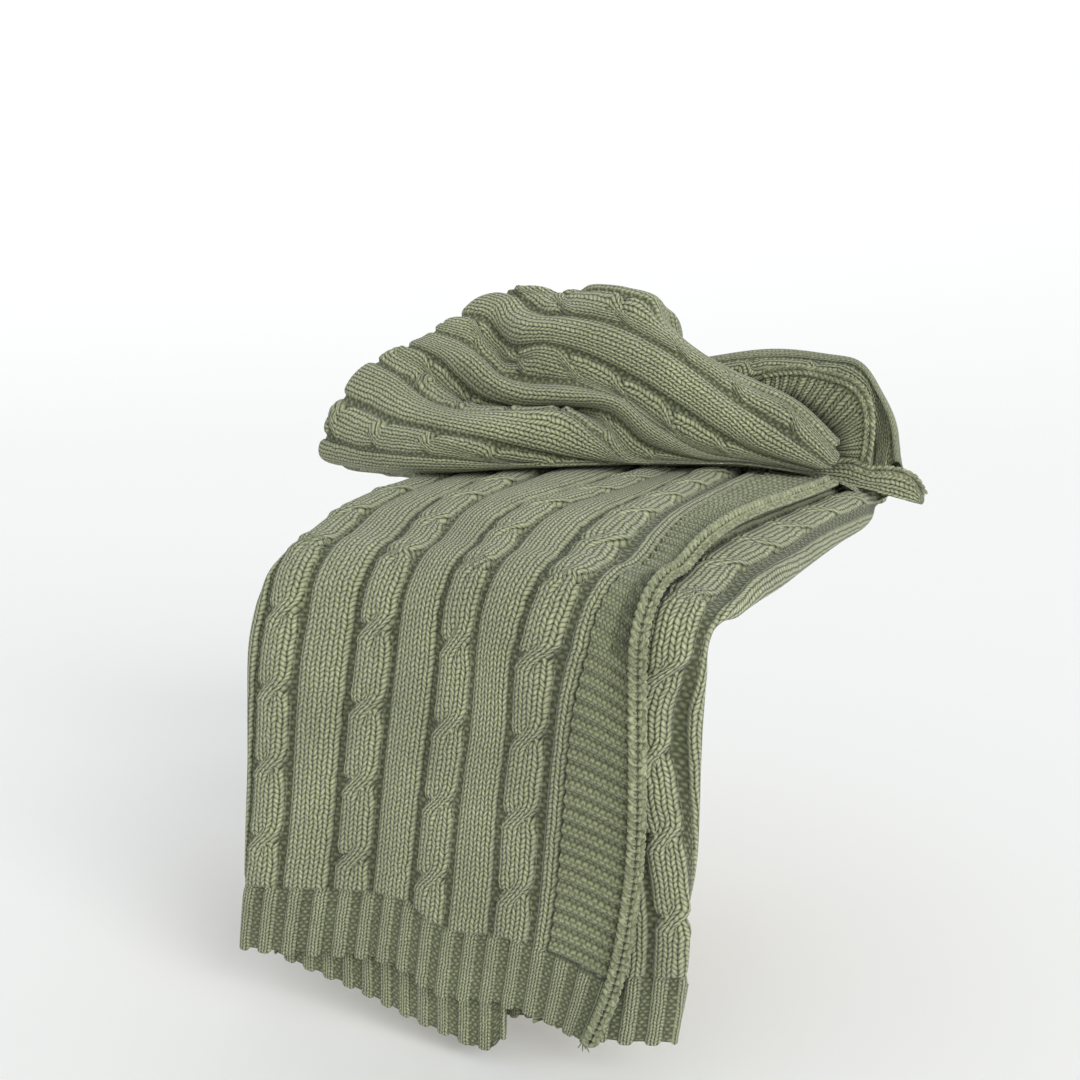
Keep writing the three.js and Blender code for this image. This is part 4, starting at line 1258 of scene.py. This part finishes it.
class THROW_OT_stage(bpy.types.Operator):
    """Set up the floor, the soft studio lights and the camera"""

    bl_idname = "throw.stage"
    bl_label = "Stage"

    def execute(self, context):
        settings = context.scene.throw_stage
        scene = context.scene
        scene.view_settings.view_transform = "Standard"
        mesh = bpy.data.meshes.new("floor")
        shape = bmesh.new()
        bmesh.ops.create_grid(shape, x_segments=FLOOR_PARTS, y_segments=FLOOR_PARTS, size=FLOOR_HALF)
        for vert in shape.verts:
            past = max(vert.co.xy.length - FLAT_FLOOR, 0)
            vert.co.z = past * past / FLOOR_CURVE
        shape.to_mesh(mesh)
        shape.free()
        mesh.polygons.foreach_set("use_smooth", np.ones(len(mesh.polygons), bool))
        floor = bpy.data.objects.new("floor", mesh)
        scene.collection.objects.link(floor)
        made, tree = new_material("matt_floor")
        paint = {"Base Color": linear(settings.floor), "Roughness": 0.9, "IOR": 1.4}
        node(tree, "ShaderNodeOutputMaterial", {0: node(tree, "ShaderNodeBsdfPrincipled", paint)})
        mesh.materials.append(made)

        world = bpy.data.worlds.new("studio")
        scene.world = world
        world.use_nodes = True
        tree = world.node_tree
        sky = tree.nodes["Background"]
        sky.inputs[0].default_value = FILL_COLOUR
        # the even light is brighter from the side of the main one
        way = node(tree, "ShaderNodeTexCoord").outputs["Generated"]
        slope = direction(FILL_AZIMUTH, 0) * FILL_SLOPE * settings.fill
        toward = node(tree, VECTOR_MATH, {0: way, 1: slope}, operation="DOT_PRODUCT")
        strength = node(tree, MATH, {0: toward.outputs["Value"], 1: settings.fill}, operation="ADD")
        tree.links.new(strength.outputs[0], sky.inputs[1])
        light = bpy.data.lights.new("key_light", "SUN")
        light.energy = settings.key
        light.angle = KEY_SPREAD
        lamp = bpy.data.objects.new("key_light", light)
        lamp.location = 3 * direction(KEY_AZIMUTH, KEY_ELEVATION)
        lamp.rotation_euler = lamp.location.to_track_quat("Z", "Y").to_euler()
        scene.collection.objects.link(lamp)

        back = direction(CAMERA_AZIMUTH, CAMERA_ELEVATION)
        lens = bpy.data.cameras.new("camera")
        lens.lens = LENS
        lens.sensor_width = SENSOR
        camera = bpy.data.objects.new("camera", lens)
        camera.location = CAMERA_PLACE
        camera.rotation_euler = (-back).to_track_quat("-Z", "Y").to_euler()
        scene.collection.objects.link(camera)
        scene.camera = camera
        return {"FINISHED"}


OPERATORS = (
    THROW_OT_front,
    THROW_OT_under,
    THROW_OT_right,
    THROW_OT_heap,
    THROW_OT_lobe,
    THROW_OT_edges,
    THROW_OT_table,
    THROW_OT_stage,
)


class THROW_PT_panel(bpy.types.Panel):
    """Lists the pieces' operators and their settings"""

    bl_idname = "THROW_PT_panel"
    bl_label = "Throw"
    bl_space_type = "VIEW_3D"
    bl_region_type = "UI"
    bl_category = "Throw"

    def draw(self, context):
        for settings in (context.scene.throw, context.scene.throw_table, context.scene.throw_stage):
            for name in settings.bl_rna.properties.keys():
                if name not in ("rna_type", "name"):
                    self.layout.prop(settings, name)
        for operator in OPERATORS:
            self.layout.operator(operator.bl_idname)


CLASSES = (ThrowSettings, TableSettings, StageSettings, *OPERATORS, THROW_PT_panel)


def register():
    for kind in CLASSES:
        bpy.utils.register_class(kind)
    bpy.types.Scene.throw = PointerProperty(type=ThrowSettings)
    bpy.types.Scene.throw_table = PointerProperty(type=TableSettings)
    bpy.types.Scene.throw_stage = PointerProperty(type=StageSettings)


def unregister():
    del bpy.types.Scene.throw
    del bpy.types.Scene.throw_table
    del bpy.types.Scene.throw_stage
    for kind in reversed(CLASSES):
        bpy.utils.unregister_class(kind)


def main():
    register()
    for operator in OPERATORS:
        group, name = operator.bl_idname.split(".")
        getattr(getattr(bpy.ops, group), name)()
    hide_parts("knit_throw")


if __name__ == "__main__":
    main()
